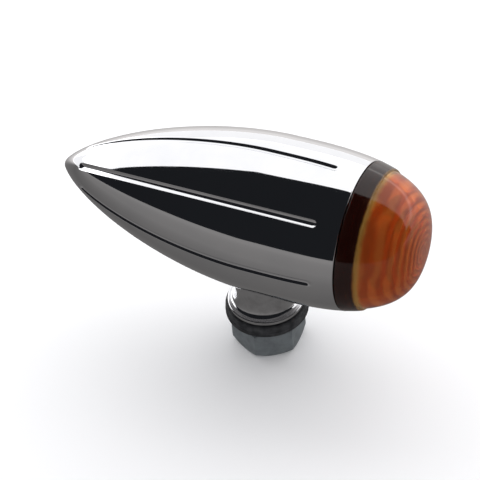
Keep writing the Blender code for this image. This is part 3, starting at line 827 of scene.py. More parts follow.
def amber_lens(name):
    """Amber moulding, clear in the ringed dome: painted shade darkens the thick collar, a painted highlight
    brightens the step, and painted streaks of light and shade follow the rings.
    """
    colours = bpy.context.scene.signal_colours
    amber = Finish(name, colours.amber, 0.06)
    amber.set("IOR", 1.49)
    amber.set("Transmission Weight", 0.79)
    amber.set("Specular IOR Level", 0.35)
    split = amber.node("ShaderNodeSeparateXYZ")
    amber.links.new(amber.place, split.inputs["Vector"])
    wobble = amber.span(amber.noise(300, 3), -0.12 * MM, 0.12 * MM)
    along = amber.node("ShaderNodeMath")
    amber.links.new(split.outputs["X"], along.inputs[0])
    amber.links.new(wobble, along.inputs[1])
    ramp = amber.nodes.new("ShaderNodeValToRGB")
    amber_stops_with_painted_light = (
        # painted shade: the collar darkened to stand for the dark inside behind it
        (SEAM_X - 6 * MM, colours.collar_amber_and_painted_shade),
        (COLLAR_END_X - 0.5 * MM, colours.collar_amber_and_painted_shade),
        # painted highlight: a golden line along the step from collar to dome
        (COLLAR_END_X + 0.1 * MM, (1.0, 0.53, 0.11)),
        (COLLAR_END_X + 0.8 * MM, (1.0, 0.44, 0.09)),
        (COLLAR_END_X + 1.4 * MM, colours.amber),
        (LENS_TOP_X, colours.amber),
    )
    first, last = amber_stops_with_painted_light[0][0], amber_stops_with_painted_light[-1][0]
    elements = ramp.color_ramp.elements
    for index, (place, colour) in enumerate(amber_stops_with_painted_light):
        position = (place - first) / (last - first)
        element = elements[index] if index < 2 else elements.new(position)
        element.position = position
        element.color = (*colour, 1)
    amber.links.new(amber.span(along.outputs[0], 0.0, 1.0, first, last), ramp.inputs["Fac"])
    # painted streaks of light and shade along the dome's rings, multiplied into the amber colour
    ring_streak_mix = amber.node("ShaderNodeMix")
    ring_streak_mix.data_type = "RGBA"
    ring_streak_mix.blend_type = "MULTIPLY"
    ring_streak_mix.inputs["Factor"].default_value = 1.0
    shade = amber.nodes.new("ShaderNodeValToRGB")
    shade.color_ramp.elements[0].position = 0.2
    shade.color_ramp.elements[1].position = 0.8
    shade.color_ramp.elements[0].color = (1, 1, 1, 1)
    shade.color_ramp.elements[1].color = (0.80, 0.56, 0.50, 1)
    painted_ring_streaks = amber.rings(150, "X", (0, 0, AXIS_Z), 3.5, "RINGS")
    amber.links.new(painted_ring_streaks, shade.inputs["Fac"])
    amber.links.new(ramp.outputs["Color"], ring_streak_mix.inputs[6])
    amber.links.new(shade.outputs["Color"], ring_streak_mix.inputs[7])
    amber.links.new(ring_streak_mix.outputs[2], amber.shader.inputs["Base Color"])
    amber.roughen(amber.noise(900, 5), 0.03, 0.12)
    amber.bump(amber.noise(220, 3), 0.1, 0.00004)


FINISHES = {
    "chrome_plate": chrome_plate,
    "neck_chrome_plate": worn_chrome,
    "gasket_rubber_grain": lambda name: soft_rubber(name, 3200, 0.02),
    "grommet_rubber_grain": lambda name: soft_rubber(name, 3000, 0.03),
    "seal_rubber_grain": lambda name: soft_rubber(name, 4200, 0.015),
    "washer_rubber_grain": lambda name: soft_rubber(name, 2200, 0.05),
    "nut_dull_zinc": dull_zinc,
    "bolt_bright_zinc": bolt_zinc,
    "spun_aluminium": spun_aluminium,
    "brushed_screw_steel": screw_steel,
    "drawn_nickel": nickel_plate,
    "blued_spring_steel": spring_steel,
    "vulcanised_fibre": fibre_sheet,
    "terminal_brass_sheet": brass,
    "bulb_cap_brass": brass,
    "insulator_black_glass": black_glass,
    "tinned_solder": solder,
    "clear_blown_glass": bulb_glass_finish,
    "support_nickel_wire": support_nickel,
    "tungsten_wire": tungsten,
    "amber_moulding": amber_lens,
}


def fit(piece, node, finish_name):
    """Finishes the piece, hides the plain node it stands for and lets it ride on that node's body."""
    piece.data.materials.clear()
    piece.data.materials.append(finish(finish_name))
    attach(piece, frame["nodes"][node]["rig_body"])
    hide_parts(node)
    return piece


# ---- the housing


def housing_outline():
    """Outer bullet from the nose tip to the seam, then the mouth, shoulder and cavity back to the axis."""
    joint_x = NOSE_TIP_X + TIP_BLEND
    joint_radius = bullet_radius(joint_x)
    short_step = 0.01 * MM
    slope = (bullet_radius(joint_x + short_step) - joint_radius) / short_step
    ball_angle = math.atan2(1, slope)
    ball_radius = joint_radius / math.sin(ball_angle)
    outline = []
    ball_steps = 8
    for step in range(ball_steps):
        angle = ball_angle * step / ball_steps
        place = joint_x + ball_radius * (math.cos(ball_angle) - math.cos(angle))
        outline.append((ball_radius * math.sin(angle), place))
    nose_rows = 96
    for step in range(nose_rows + 1):
        share = math.cos(math.pi / 2 * step / nose_rows)
        x = WIDEST_X - (WIDEST_X - joint_x) * share
        outline.append((bullet_radius(x), x))
    rim, mouth_bevel = 0.35 * MM, 0.25 * MM
    tail_rows = 52
    for step in range(1, tail_rows + 1):
        x = WIDEST_X + (SEAM_X - rim - WIDEST_X) * step / tail_rows
        outline.append((bullet_radius(x), x))
    outline += arc(bullet_radius(SEAM_X - rim) - rim, SEAM_X - rim, rim, 15, 90)
    outline += [(MOUTH_RADIUS + mouth_bevel, SEAM_X), (MOUTH_RADIUS, SEAM_X - mouth_bevel)]
    outline += [(MOUTH_RADIUS, SHOULDER_X), (CAVITY_RADIUS, SHOULDER_X), (CAVITY_RADIUS, CAVITY_TAPER_X)]
    taper_rows = 8
    for step in range(1, taper_rows + 1):
        x = CAVITY_TAPER_X + (CAVITY_END_X - CAVITY_TAPER_X) * step / taper_rows
        outline.append((min(CAVITY_RADIUS, bullet_radius(x) - NOSE_WALL), x))
    outline.append((0, CAVITY_END_X))
    return outline


def column_angle(column, radius, half_width):
    """Angle from the bottom of a mesh column on a ring of this radius. Columns keep to the flutes' sides."""
    spacing = math.radians(FLUTE_SPACING)
    widest = spacing * 0.3
    half_flute = min(half_width * FLUTE_MARGIN / radius, widest)
    bottom_gap = (FULL_TURN - spacing * (FLUTE_COUNT - 1)) / 2 - half_flute
    half_bottom = BOTTOM_COLUMNS // 2
    if column < half_bottom:
        return bottom_gap * column / half_bottom
    step, within = divmod(column - half_bottom, FLUTE_COLUMNS + LAND_COLUMNS)
    start = bottom_gap + step * spacing
    if within <= FLUTE_COLUMNS:
        return start + 2 * half_flute * within / FLUTE_COLUMNS
    if step == FLUTE_COUNT - 1:
        return start + 2 * half_flute + bottom_gap * (within - FLUTE_COLUMNS) / half_bottom
    return start + 2 * half_flute + (spacing - 2 * half_flute) * (within - FLUTE_COLUMNS) / LAND_COLUMNS


def housing_columns():
    return FLUTE_COUNT * FLUTE_COLUMNS + (FLUTE_COUNT - 1) * LAND_COLUMNS + BOTTOM_COLUMNS


def gather_columns(piece, half_width):
    """Slides the evenly turned columns round the body until they run along the sides of the flutes."""
    columns = housing_columns()
    for vert in piece.data.vertices:
        up, side = vert.co.z - AXIS_Z, vert.co.y
        radius = math.hypot(up, side)
        if radius < MERGE_DISTANCE:
            continue
        from_bottom = math.atan2(side, -up) % FULL_TURN
        column = round(from_bottom / FULL_TURN * columns) % columns
        angle = column_angle(column, radius, half_width)
        vert.co.y = radius * math.sin(angle)
        vert.co.z = AXIS_Z - radius * math.cos(angle)


def flute_share(point):
    """Depth of the flutes at a point on the body's skin, from 0 outside them to 1 along their middles."""
    up, side = point.z - AXIS_Z, point.y
    radius = math.hypot(up, side)
    off_skin = abs(radius - bullet_radius(point.x))
    if not FLUTE_START_X < point.x < FLUTE_END_X or off_skin > SKIN_TOLERANCE:
        return 0.0
    from_top = math.degrees(math.atan2(side, up))
    nearest = FLUTE_SPACING * round(from_top / FLUTE_SPACING)
    if abs(nearest) > FLUTE_SPACING * (FLUTE_COUNT // 2):
        return 0.0
    half_width = bpy.context.scene.signal_sizes.flute_width / 2
    beyond = max(FLUTE_START_X + half_width - point.x, point.x - FLUTE_END_X + half_width, 0)
    across = radius * math.radians(from_top - nearest)
    away = math.hypot(across, beyond) / half_width
    return max(1 - away**2, 0.0)


def screw_bosses():
    """Two bosses that stand behind the shoulder and take the reflector's screws."""
    boss_radius, boss_back_x, bowl_room_radius = 2.9 * MM, 9 * MM, 14.7 * MM
    bosses = []
    for side in (1, -1):
        outline = band(0, boss_radius, boss_back_x, SHOULDER_X)
        boss = turned("boss", outline, steps=40, at=(0, 0, AXIS_Z + side * SCREW_CIRCLE))
        combine(boss, turned("bowl_room", band(0, bowl_room_radius, 0, 30 * MM)))
        bosses.append(boss)
    return join(bosses)


def housing_cuts():
    """The bolt's pocket and hole, and the screws' pilot holes."""
    steps = [
        (0, 0),
        (BOLT_CLEARANCE, 0),
        (BOLT_CLEARANCE, POCKET_Z),
        (POCKET_RADIUS, POCKET_Z),
        (POCKET_RADIUS, AXIS_Z),
        (0, AXIS_Z),
    ]
    cuts = [turned("pocket_cut", steps, Z, 72)]
    pilot_radius, pilot_end_x = 1.3 * MM, 11.5 * MM
    for side in (1, -1):
        outline = band(0, pilot_radius, pilot_end_x, SHOULDER_X + MM)
        cuts.append(turned("pilot_cut", outline, steps=32, at=(0, 0, AXIS_Z + side * SCREW_CIRCLE)))
    return join(cuts)


class SIGNAL_OT_housing(bpy.types.Operator):
    """Turn the bullet housing, press in its flutes and cut its pocket and holes"""

    bl_idname = "signal.housing"
    bl_label = "Housing"

    def execute(self, context):
        sizes = context.scene.signal_sizes
        shell = turned("fluted_housing", housing_outline(), steps=housing_columns())
        gather_columns(shell, sizes.flute_width / 2)
        press(shell, sizes.flute_depth, flute_share)
        combine(shell, screw_bosses(), "UNION")
        combine(shell, housing_cuts())
        finish_edges(shell, 0, smooth=60)
        fit(shell, "housing", "chrome_plate")
        return {"FINISHED"}


# ---- the neck and its gasket


def saddle_height(x, y, gap):
    """Height at which an upright line meets the underside of the bullet shape grown by a gap."""
    return AXIS_Z - math.sqrt(max((bullet_radius(x) + gap) ** 2 - y**2, 0))


def raise_to_saddle(piece, above, gap):
    """Moves every corner that is higher than a level onto the saddle under the body."""
    for vert in piece.data.vertices:
        if vert.co.z > above:
            vert.co.z = saddle_height(vert.co.x, vert.co.y, gap)


class SIGNAL_OT_neck(bpy.types.Operator):
    """Turn the trumpet neck and fit its top, and the gasket, to the body"""

    bl_idname = "signal.neck"
    bl_label = "Neck and gasket"

    def execute(self, context):
        flange_top, corner, blank_top, bevel = 1.5 * MM, 0.45 * MM, 20 * MM, 0.3 * MM
        flare_foot = NECK_FLANGE_RADIUS - 2 * corner
        outline = [(BOLT_CLEARANCE + bevel, 0)]
        outline += arc(NECK_FLANGE_RADIUS - corner, corner, corner, -90, 0)
        outline += arc(NECK_FLANGE_RADIUS - corner, flange_top - corner, corner, 0, 90)
        outline += flared(flare_foot, NECK_RADIUS, flange_top, FLARE_TOP_Z, 18)
        outline += [(NECK_RADIUS, 8 * MM), (NECK_RADIUS, blank_top), (BOLT_CLEARANCE, blank_top)]
        outline.append((BOLT_CLEARANCE, bevel))
        neck = turned("trumpet_neck", outline, Z, 144)
        raise_to_saddle(neck, 15 * MM, 2 * TOUCH_GAP + GASKET_THICKNESS)
        finish_edges(neck, 0.1 * MM)
        fit(neck, "stem", "neck_chrome_plate")

        rim, lip = NECK_RADIUS + 0.25 * MM, 0.15 * MM
        ring = [(BOLT_CLEARANCE, 0), (rim - lip, 0), (rim, 0), (rim, blank_top)]
        ring += [(rim - lip, blank_top), (BOLT_CLEARANCE, blank_top)]
        gasket = turned("saddle_gasket", ring, Z, 144)
        for vert in gasket.data.vertices:
            gap = TOUCH_GAP if vert.co.z > blank_top / 2 else TOUCH_GAP + GASKET_THICKNESS
            vert.co.z = saddle_height(vert.co.x, vert.co.y, gap)
        finish_edges(gasket, 0.1 * MM)
        fit(gasket, "stem_gasket", "gasket_rubber_grain")
        return {"FINISHED"}


# ---- the mounting bolt and what sits on it


class SIGNAL_OT_bolt(bpy.types.Operator):
    """Turn the hollow bolt with its hexagonal head and cut its thread"""

    bl_idname = "signal.bolt"
    bl_label = "Hollow bolt"

    def execute(self, context):
        sizes = context.scene.signal_sizes
        corner_radius, chamfer_radius, rise = 8.5 * MM, 7.2 * MM, 0.45 * MM
        root_radius, thread_runout, rows_per_turn = THREAD_RADIUS - sizes.thread_depth, 3 * MM, 8
        outline = [(BOLT_BORE, BOLT_LOW)]
        thread_high = BOLT_HEAD_LOW - thread_runout
        rows = int((thread_high - BOLT_LOW) / (sizes.thread_pitch / rows_per_turn))
        for step in range(rows + 1):
            rise_above_end = (thread_high - BOLT_LOW) * step / rows
            outline.append((min(root_radius + rise_above_end, THREAD_RADIUS), BOLT_LOW + rise_above_end))
        outline += [(THREAD_RADIUS, BOLT_HEAD_LOW), (chamfer_radius, BOLT_HEAD_LOW)]
        outline.append((corner_radius, BOLT_HEAD_LOW + rise))
        outline += [(corner_radius, BOLT_HIGH - rise), (chamfer_radius, BOLT_HIGH), (BOLT_BORE, BOLT_HIGH)]
        bolt = turned("threaded_bolt", outline, Z, 96)
        across = corner_radius * math.sqrt(3)
        make_hexagonal(bolt, across, 0, BOLT_HEAD_LOW, BOLT_HIGH, chamfer_radius, corner_radius, rise)

        def threaded(point, radius):
            if radius < root_radius - 0.1 * MM or point.z > thread_high:
                return radius
            faded = min((thread_high - point.z) / sizes.thread_pitch, 1.0)
            return min(radius, THREAD_RADIUS - sizes.thread_depth * thread_share(point) * faded)

        draw_to(bolt, threaded)
        finish_edges(bolt, 0, smooth=40)
        fit(bolt, "hollow_bolt", "bolt_bright_zinc")
        return {"FINISHED"}


class SIGNAL_OT_lock_washer(bpy.types.Operator):
    """Wind the split lock washer under the bolt's head"""

    bl_idname = "signal.lock_washer"
    bl_label = "Lock washer"

    def execute(self, context):
        bottom, top = low("lock_washer", Z), high("lock_washer", Z)
        outline = band(BOLT_CLEARANCE, half_span("lock_washer", X), bottom, top)
        ring = turned("split_washer", outline, Z, 90, sweep=math.radians(352), start=math.radians(60))
        finish_edges(ring)
        fit(ring, "lock_washer", "bolt_bright_zinc")
        return {"FINISHED"}


class SIGNAL_OT_grommet(bpy.types.Operator):
    """Turn the rubber sleeve that guards the wires in the bolt's bore"""

    bl_idname = "signal.grommet"
    bl_label = "Wire grommet"

    def execute(self, context):
        bottom, top = low("wire_grommet", Z), high("wire_grommet", Z)
        bore, sleeve, flange = 3.1 * MM, BOLT_BORE - TOUCH_GAP, half_span("wire_grommet", X)
        seat = top - 1.2 * MM
        foot_round, seat_round, top_round, mouth_round = 0.35 * MM, 0.3 * MM, 0.7 * MM, 0.6 * MM
        bevel = 0.2 * MM
        outline = arc(bore + foot_round, bottom + foot_round, foot_round, 180, 270, 4)
        outline += [(sleeve - bevel, bottom), (sleeve, bottom + bevel), (sleeve, seat)]
        outline += arc(flange - seat_round, seat + seat_round, seat_round, -90, 0, 4)
        outline += arc(flange - top_round, top - top_round, top_round, 0, 90, 6)
        outline += arc(bore + mouth_round, top - mouth_round, mouth_round, 90, 180, 6)
        sleeve_piece = turned("wire_sleeve", outline, Z, 72)
        finish_edges(sleeve_piece, 0)
        fit(sleeve_piece, "wire_grommet", "grommet_rubber_grain")
        return {"FINISHED"}


class SIGNAL_OT_washer(bpy.types.Operator):
    """Mould the thick rubber washer with its lip and parting line"""

    bl_idname = "signal.washer"
    bl_label = "Rubber washer"

    def execute(self, context):
        radius = half_span("rubber_washer", X)
        top_round, foot_round, flash, flash_half, bevel = 0.7 * MM, 1.1 * MM, 0.12 * MM, 0.15 * MM, 0.3 * MM
        middle = (WASHER_LOW + WASHER_HIGH) / 2
        outline = [(BOLT_CLEARANCE, WASHER_LOW), (radius - 2.2 * MM, WASHER_LOW)]
        outline += [(radius - 1.6 * MM, WASHER_LOW + 0.15 * MM)]
        outline += arc(radius - foot_round, WASHER_LOW + foot_round, foot_round, -75, -5, 7)
        outline.append((radius - flash, middle - flash_half))
        outline += [(radius, middle), (radius - flash, middle + flash_half)]
        outline += arc(radius - flash - top_round, WASHER_HIGH - top_round, top_round, 0, 90, 6)
        outline += [(BOLT_CLEARANCE + bevel, WASHER_HIGH), (BOLT_CLEARANCE, WASHER_HIGH - bevel)]
        cushion = turned("rubber_cushion_washer", outline, Z, 120)
        finish_edges(cushion, 0, smooth=50)
        fit(cushion, "rubber_washer", "washer_rubber_grain")
        return {"FINISHED"}


class SIGNAL_OT_nut(bpy.types.Operator):
    """Turn the nut's blank, draw it to a hexagon and cut its thread"""

    bl_idname = "signal.nut"
    bl_label = "Hexagon nut"

    def execute(self, context):
        sizes = context.scene.signal_sizes
        flat = sizes.nut_across_flats / 2
        corner_radius = flat / math.cos(math.radians(30)) + 0.01 * MM
        chamfer_radius = flat - 0.35 * MM
        rise = (corner_radius - chamfer_radius) * math.tan(math.radians(38))
        crest = THREAD_RADIUS - sizes.thread_depth + sizes.thread_play
        countersink, rows_per_turn = 0.7 * MM, 8
        outline = [(chamfer_radius, NUT_LOW), (corner_radius, NUT_LOW + rise)]
        outline += [(corner_radius, NUT_HIGH - rise), (chamfer_radius, NUT_HIGH)]
        height = NUT_HIGH - NUT_LOW
        rows = int(height / (sizes.thread_pitch / rows_per_turn))
        for step in range(rows + 1):
            below_top = height * step / rows
            sunk = max(countersink - min(below_top, height - below_top), 0.0)
            outline.append((crest + sunk, NUT_HIGH - below_top))
        nut = turned("mounting_nut", outline, Z, 96, start=sizes.nut_turn)
        across, turn = sizes.nut_across_flats, sizes.nut_turn
        make_hexagonal(nut, across, turn, NUT_LOW, NUT_HIGH, chamfer_radius, corner_radius, rise)

        def threaded(point, radius):
            if radius > crest + countersink + 0.1 * MM:
                return radius
            return max(radius, crest + sizes.thread_depth * (1 - thread_share(point)))

        draw_to(nut, threaded)
        finish_edges(nut, 0, smooth=25)
        fit(nut, "hex_nut", "nut_dull_zinc")
        return {"FINISHED"}


# ---- the reflector and its screws


class SIGNAL_OT_reflector(bpy.types.Operator):
    """Spin the reflector bowl and drill its flange"""

    bl_idname = "signal.reflector"
    bl_label = "Reflector"

    def execute(self, context):
        neck, wall, flange_thickness = SOCKET_RADIUS + TOUCH_GAP, 0.5 * MM, 0.9 * MM
        rim, bowl_x, back_x, front_x = 13.4 * MM, 2.5 * MM, REFLECTOR_BACK_X, REFLECTOR_FRONT_X
        flange_back = front_x - flange_thickness
        flange = half_span("reflector", Y)
        inside = [(neck, back_x), (neck, bowl_x)]
        bowl_rows, fullness = 28, 0.9
        for step in range(1, bowl_rows + 1):
            share = step / bowl_rows
            inside.append((neck + (rim - neck) * share**fullness, bowl_x + (flange_back - bowl_x) * share))
        inside += arc(rim + flange_thickness, flange_back, flange_thickness, 180, 90, 6)[1:]
        outside = [(neck + wall, back_x), (neck + wall, bowl_x)]
        outside += [(radius + wall, x) for radius, x in inside[2 : bowl_rows + 1]]
        outside += [(rim + 1.2 * MM, flange_back), (flange - 0.3 * MM, flange_back)]
        roll = flange_thickness / 2
        outside += arc(flange - roll, front_x - roll, roll, -90, 90, 8)
        bowl = turned("reflector_bowl", outside + inside[::-1], steps=120)
        hole_radius = 1.35 * MM
        holes = []
        for side in (1, -1):
            drill = band(0, hole_radius, flange_back - MM, front_x + MM)
            holes.append(turned("hole_cut", drill, steps=32, at=(0, 0, AXIS_Z + side * SCREW_CIRCLE)))
        combine(bowl, join(holes))
        finish_edges(bowl, 0, smooth=40)
        fit(bowl, "reflector", "spun_aluminium")

        for index, side in enumerate((1, -1), 1):
            screw = self.screw(f"pan_screw_{index}", AXIS_Z + side * SCREW_CIRCLE)
            fit(screw, f"reflector_screw_{index}", "brushed_screw_steel")
        return {"FINISHED"}

    def screw(self, name, height):
        """A slotted pan-head screw with a threaded shank."""
        tip_x, top_x = low("reflector_screw_1", X), high("reflector_screw_1", X)
        head_x, head_edge, plain_shank = REFLECTOR_FRONT_X + TOUCH_GAP, 0.35 * MM, 0.6 * MM
        shank, head = 1.0 * MM, half_span("reflector_screw_1", Y)
        tip, root = shank * 0.6, shank * 0.78
        outline = [(0, tip_x), (tip, tip_x)]
        ridges = 14
        for step in range(2 * ridges + 1):
            share = (step + 1) / (2 * ridges + 1)
            outline.append((shank if step % 2 else root, tip_x + (head_x - plain_shank - tip_x) * share))
        edge_x = head_x + head_edge
        outline += [(shank, head_x), (head, head_x)] + domed(head, edge_x, top_x - edge_x, 7)
        screw = turned(name, outline, steps=48, at=(0, 0, height))
        slot_x, half_slot, reach = head_x + 0.8 * MM, 0.3 * MM, 3 * MM
        slot_low = (slot_x, -half_slot, height - reach)
        slot_high = (slot_x + reach, half_slot, height + reach)
        combine(screw, block("slot_cut", slot_low, slot_high))
        return finish_edges(screw, 0.05 * MM, 1, 40)


# ---- the socket and its contacts


class SIGNAL_OT_socket(bpy.types.Operator):
    """Draw the bayonet socket with its slots, and make its clip"""

    bl_idname = "signal.socket"
    bl_label = "Bayonet socket"

    def execute(self, context):
        bore, lip, sheet, roll = 7.85 * MM, 6.4 * MM, 0.6 * MM, 0.375 * MM
        back_x, front_x = SOCKET_BACK_X, SOCKET_FRONT_X
        outline = [(lip, back_x)]
        outline += arc(SOCKET_RADIUS - sheet, back_x + sheet, sheet, -90, 0, 5)
        outline += [(SOCKET_RADIUS, front_x - 0.5 * MM)]
        outline += arc((bore + SOCKET_RADIUS) / 2, front_x - roll, roll, 0, 180, 8)
        outline += [(bore, back_x + sheet), (lip, back_x + sheet)]
        shell = turned("bayonet_shell", outline, steps=112)
        pin_radius, turn, side_play, end_play = 1.0 * MM, 15, 0.35 * MM, 0.4 * MM
        side_room = math.degrees((pin_radius + side_play) / bore)
        leg_low = BAYONET_PIN_X - pin_radius - CONTACT_TRAVEL - end_play
        leg_high = BAYONET_PIN_X + pin_radius + end_play
        slots = (
            (leg_low, leg_high, -side_room, turn + side_room),
            (leg_high - MM, front_x + MM, turn - side_room, turn + side_room),
        )
        for low_x, high_x, first, last in slots:
            for half_turn in (0, 180):
                cut = turned(
                    "slot_cut",
                    band(7 * MM, 9.4 * MM, low_x, high_x),
                    steps=10,
                    sweep=math.radians(last - first),
                    start=math.radians(90 + half_turn + first),
                )
                combine(shell, cut)
        finish_edges(shell, 0, smooth=40)
        fit(shell, "socket_shell", "drawn_nickel")

        clip_low, clip_high = low("socket_clip", X), high("socket_clip", X)
        ring = band(SOCKET_RADIUS + TOUCH_GAP, half_span("socket_clip", Z), clip_low, clip_high)
        clip = turned("spring_clip", ring, steps=88, sweep=math.radians(330), start=math.radians(15))
        finish_edges(clip)
        fit(clip, "socket_clip", "blued_spring_steel")
        return {"FINISHED"}


class SIGNAL_OT_terminals(bpy.types.Operator):
    """Make the terminal board, its two blades and the contact spring"""

    bl_idname = "signal.terminals"
    bl_label = "Terminals and spring"

    def execute(self, context):
        board_low, board_high = low("terminal_board", X), high("terminal_board", X)
        disc = band(1.4 * MM, half_span("terminal_board", Z), board_low, board_high)
        board = turned("fibre_board_disc", disc, steps=72)
        finish_edges(board)
        fit(board, "terminal_board", "vulcanised_fibre")

        tail_x, seat_x, shank, head, crown = -25.6 * MM, -23.0 * MM, 1.05 * MM, 2.2 * MM, 0.8 * MM
        rivet_outline = [(0, tail_x), (shank, tail_x), (shank, seat_x), (head, seat_x)]
        rivet_outline += arc(1.3 * MM, seat_x, crown, 10, 80, 5) + [(0, seat_x + crown)]
        rivet = turned("feed_blade", rivet_outline, steps=48)
        half_width, half_sheet = 2.2 * MM, 0.4 * MM
        blade = self.blade((low("feed_terminal", X), tail_x + half_sheet), half_width, AXIS_Z, half_sheet)
        combine(rivet, blade, "UNION")
        finish_edges(rivet, 0.06 * MM, 1)
        fit(rivet, "feed_terminal", "terminal_brass_sheet")

        sheet, half_tab, tab_back_x, tab_front_x = 0.8 * MM, 2.2 * MM, -24 * MM, -18 * MM
        tab_low = AXIS_Z + SOCKET_RADIUS + TOUCH_GAP
        tab_corners = (tab_back_x, -half_tab, tab_low), (tab_front_x, half_tab, tab_low + sheet)
        tab = block("ground_blade", *tab_corners)
        reach = low("ground_terminal", X), tab_back_x + MM
        tail = self.blade(reach, 1.6 * MM, tab_low + 0.355 * MM, 0.345 * MM)
        combine(tab, tail, "UNION")
        finish_edges(tab, 0.08 * MM)
        fit(tab, "ground_terminal", "terminal_brass_sheet")

        wire, coil_radius, turns, fixed_end, free_end = 0.35 * MM, 5.4 * MM, 4, -22.6 * MM, -17.65 * MM
        spring = bent_wire("coil_spring", helix(fixed_end, free_end, coil_radius, turns), wire)
        finish_edges(spring, 0)
        fit(spring, "contact_spring", "blued_spring_steel")
        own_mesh(spring)
        return {"FINISHED"}

    def blade(self, reach, half_width, height, half_sheet):
        """A push-on blade with a pierced end."""
        end_x, root_x = reach
        low_corner = (end_x, -half_width, height - half_sheet)
        high_corner = (root_x, half_width, height + half_sheet)
        strip = block("blade", low_corner, high_corner)
        hole_x, hole_radius = end_x + 1.8 * MM, 0.75 * MM
        drill = band(0, hole_radius, height - MM, height + MM)
        combine(strip, turned("pierce_cut", drill, Z, 28, at=(hole_x, 0, 0)))
        return strip


class SIGNAL_OT_contact(bpy.types.Operator):
    """Make the fibre disc and the brass button that slide together"""

    bl_idname = "signal.contact"
    bl_label = "Sprung contact"

    def execute(self, context):
        disc_low, disc_high = low("contact_disc", X), high("contact_disc", X)
        ring = band(1.5 * MM, half_span("contact_disc", Z), disc_low, disc_high)
        disc = turned("contact_carrier", ring, steps=72)
        finish_edges(disc)
        fit(disc, "contact_disc", "vulcanised_fibre")

        back_x, tip_x = low("contact_button", X), high("contact_button", X)
        shank, head, seat_x, dome_x = 1.15 * MM, 2.4 * MM, -15.1 * MM, -14.9 * MM
        outline = [(0, back_x), (shank, back_x), (shank, seat_x), (head, seat_x)]
        outline += domed(head, dome_x, tip_x - dome_x, 8)
        button = turned("contact_rivet", outline, steps=48)
        finish_edges(button, 0.05 * MM, 1)
        fit(button, "contact_button", "terminal_brass_sheet")
        return {"FINISHED"}


# ---- the bulb


class SIGNAL_OT_bulb_cap(bpy.types.Operator):
    """Make the bulb's brass cap with its pins, its glass insulator and its solder contact"""

    bl_idname = "signal.bulb_cap"
    bl_label = "Bulb cap"

    def execute(self, context):
        radius, inner, mouth, shoulder, roll = 7.5 * MM, 6.95 * MM, 5.4 * MM, 0.7 * MM, 0.27 * MM
        end_x, top_x = low("bulb_base", X), high("bulb_base", X)
        outline = [(mouth, end_x), (6.6 * MM, end_x)]
        outline += arc(radius - shoulder, end_x + shoulder, shoulder, -70, 0, 5)
        groove_x, groove_half, groove_depth = 0.5 * MM, 0.5 * MM, 0.2 * MM
        outline.append((radius, groove_x - groove_half))
        outline += [(radius - groove_depth, groove_x), (radius, groove_x + groove_half)]
        outline += [(radius, top_x - 0.25 * MM)] + arc(radius - roll, top_x - roll, roll, 0, 180, 6)
        outline += [(inner, end_x + 1.2 * MM), (mouth, end_x + 0.8 * MM)]
        cap = turned("brass_cap", outline, steps=96)
        for side in (1, -1):
            pin_outline = [(0, 7.2 * MM), (MM, 7.2 * MM), (MM, 8.3 * MM), (0.8 * MM, 8.5 * MM), (0, 8.5 * MM)]
            pin = turned("bayonet_pin", pin_outline, Z, 32)
            drop_in_place(pin, (BAYONET_PIN_X, 0, AXIS_Z), (math.radians(-90 * side), 0, 0))
            combine(cap, pin, "UNION")
        finish_edges(cap, 0, smooth=40)
        fit(cap, "bulb_base", "bulb_cap_brass")

        bulge = ((1.9, 0.7), (2.6, 0.72), (3.6, 0.9), (4.5, 1.25), (5.05, 1.6), (5.05, 3.4), (1.9, 3.4))
        insulator_outline = [(radius * MM, BULB_END_X + depth * MM) for radius, depth in bulge]
        insulator = turned("glass_insulator", insulator_outline, steps=72)
        finish_edges(insulator, 0.08 * MM)
        fit(insulator, "bulb_insulator", "insulator_black_glass")

        tip_radius, tip_rise, tip_root_x = 1.5 * MM, 0.65 * MM, BULB_END_X + 3.2 * MM
        tip_outline = domed(tip_radius, BULB_END_X + tip_rise, -tip_rise, 7)[::-1]
        tip_outline += [(tip_radius, tip_root_x), (0, tip_root_x)]
        tip = turned("solder_tip", tip_outline, steps=48)
        press(tip, 0.12 * MM, lambda point: 0.5 + 0.5 * math.sin(point.y * 5200) * math.cos(point.z * 4700))
        finish_edges(tip, 0)
        fit(tip, "bulb_contact", "tinned_solder")
        return {"FINISHED"}


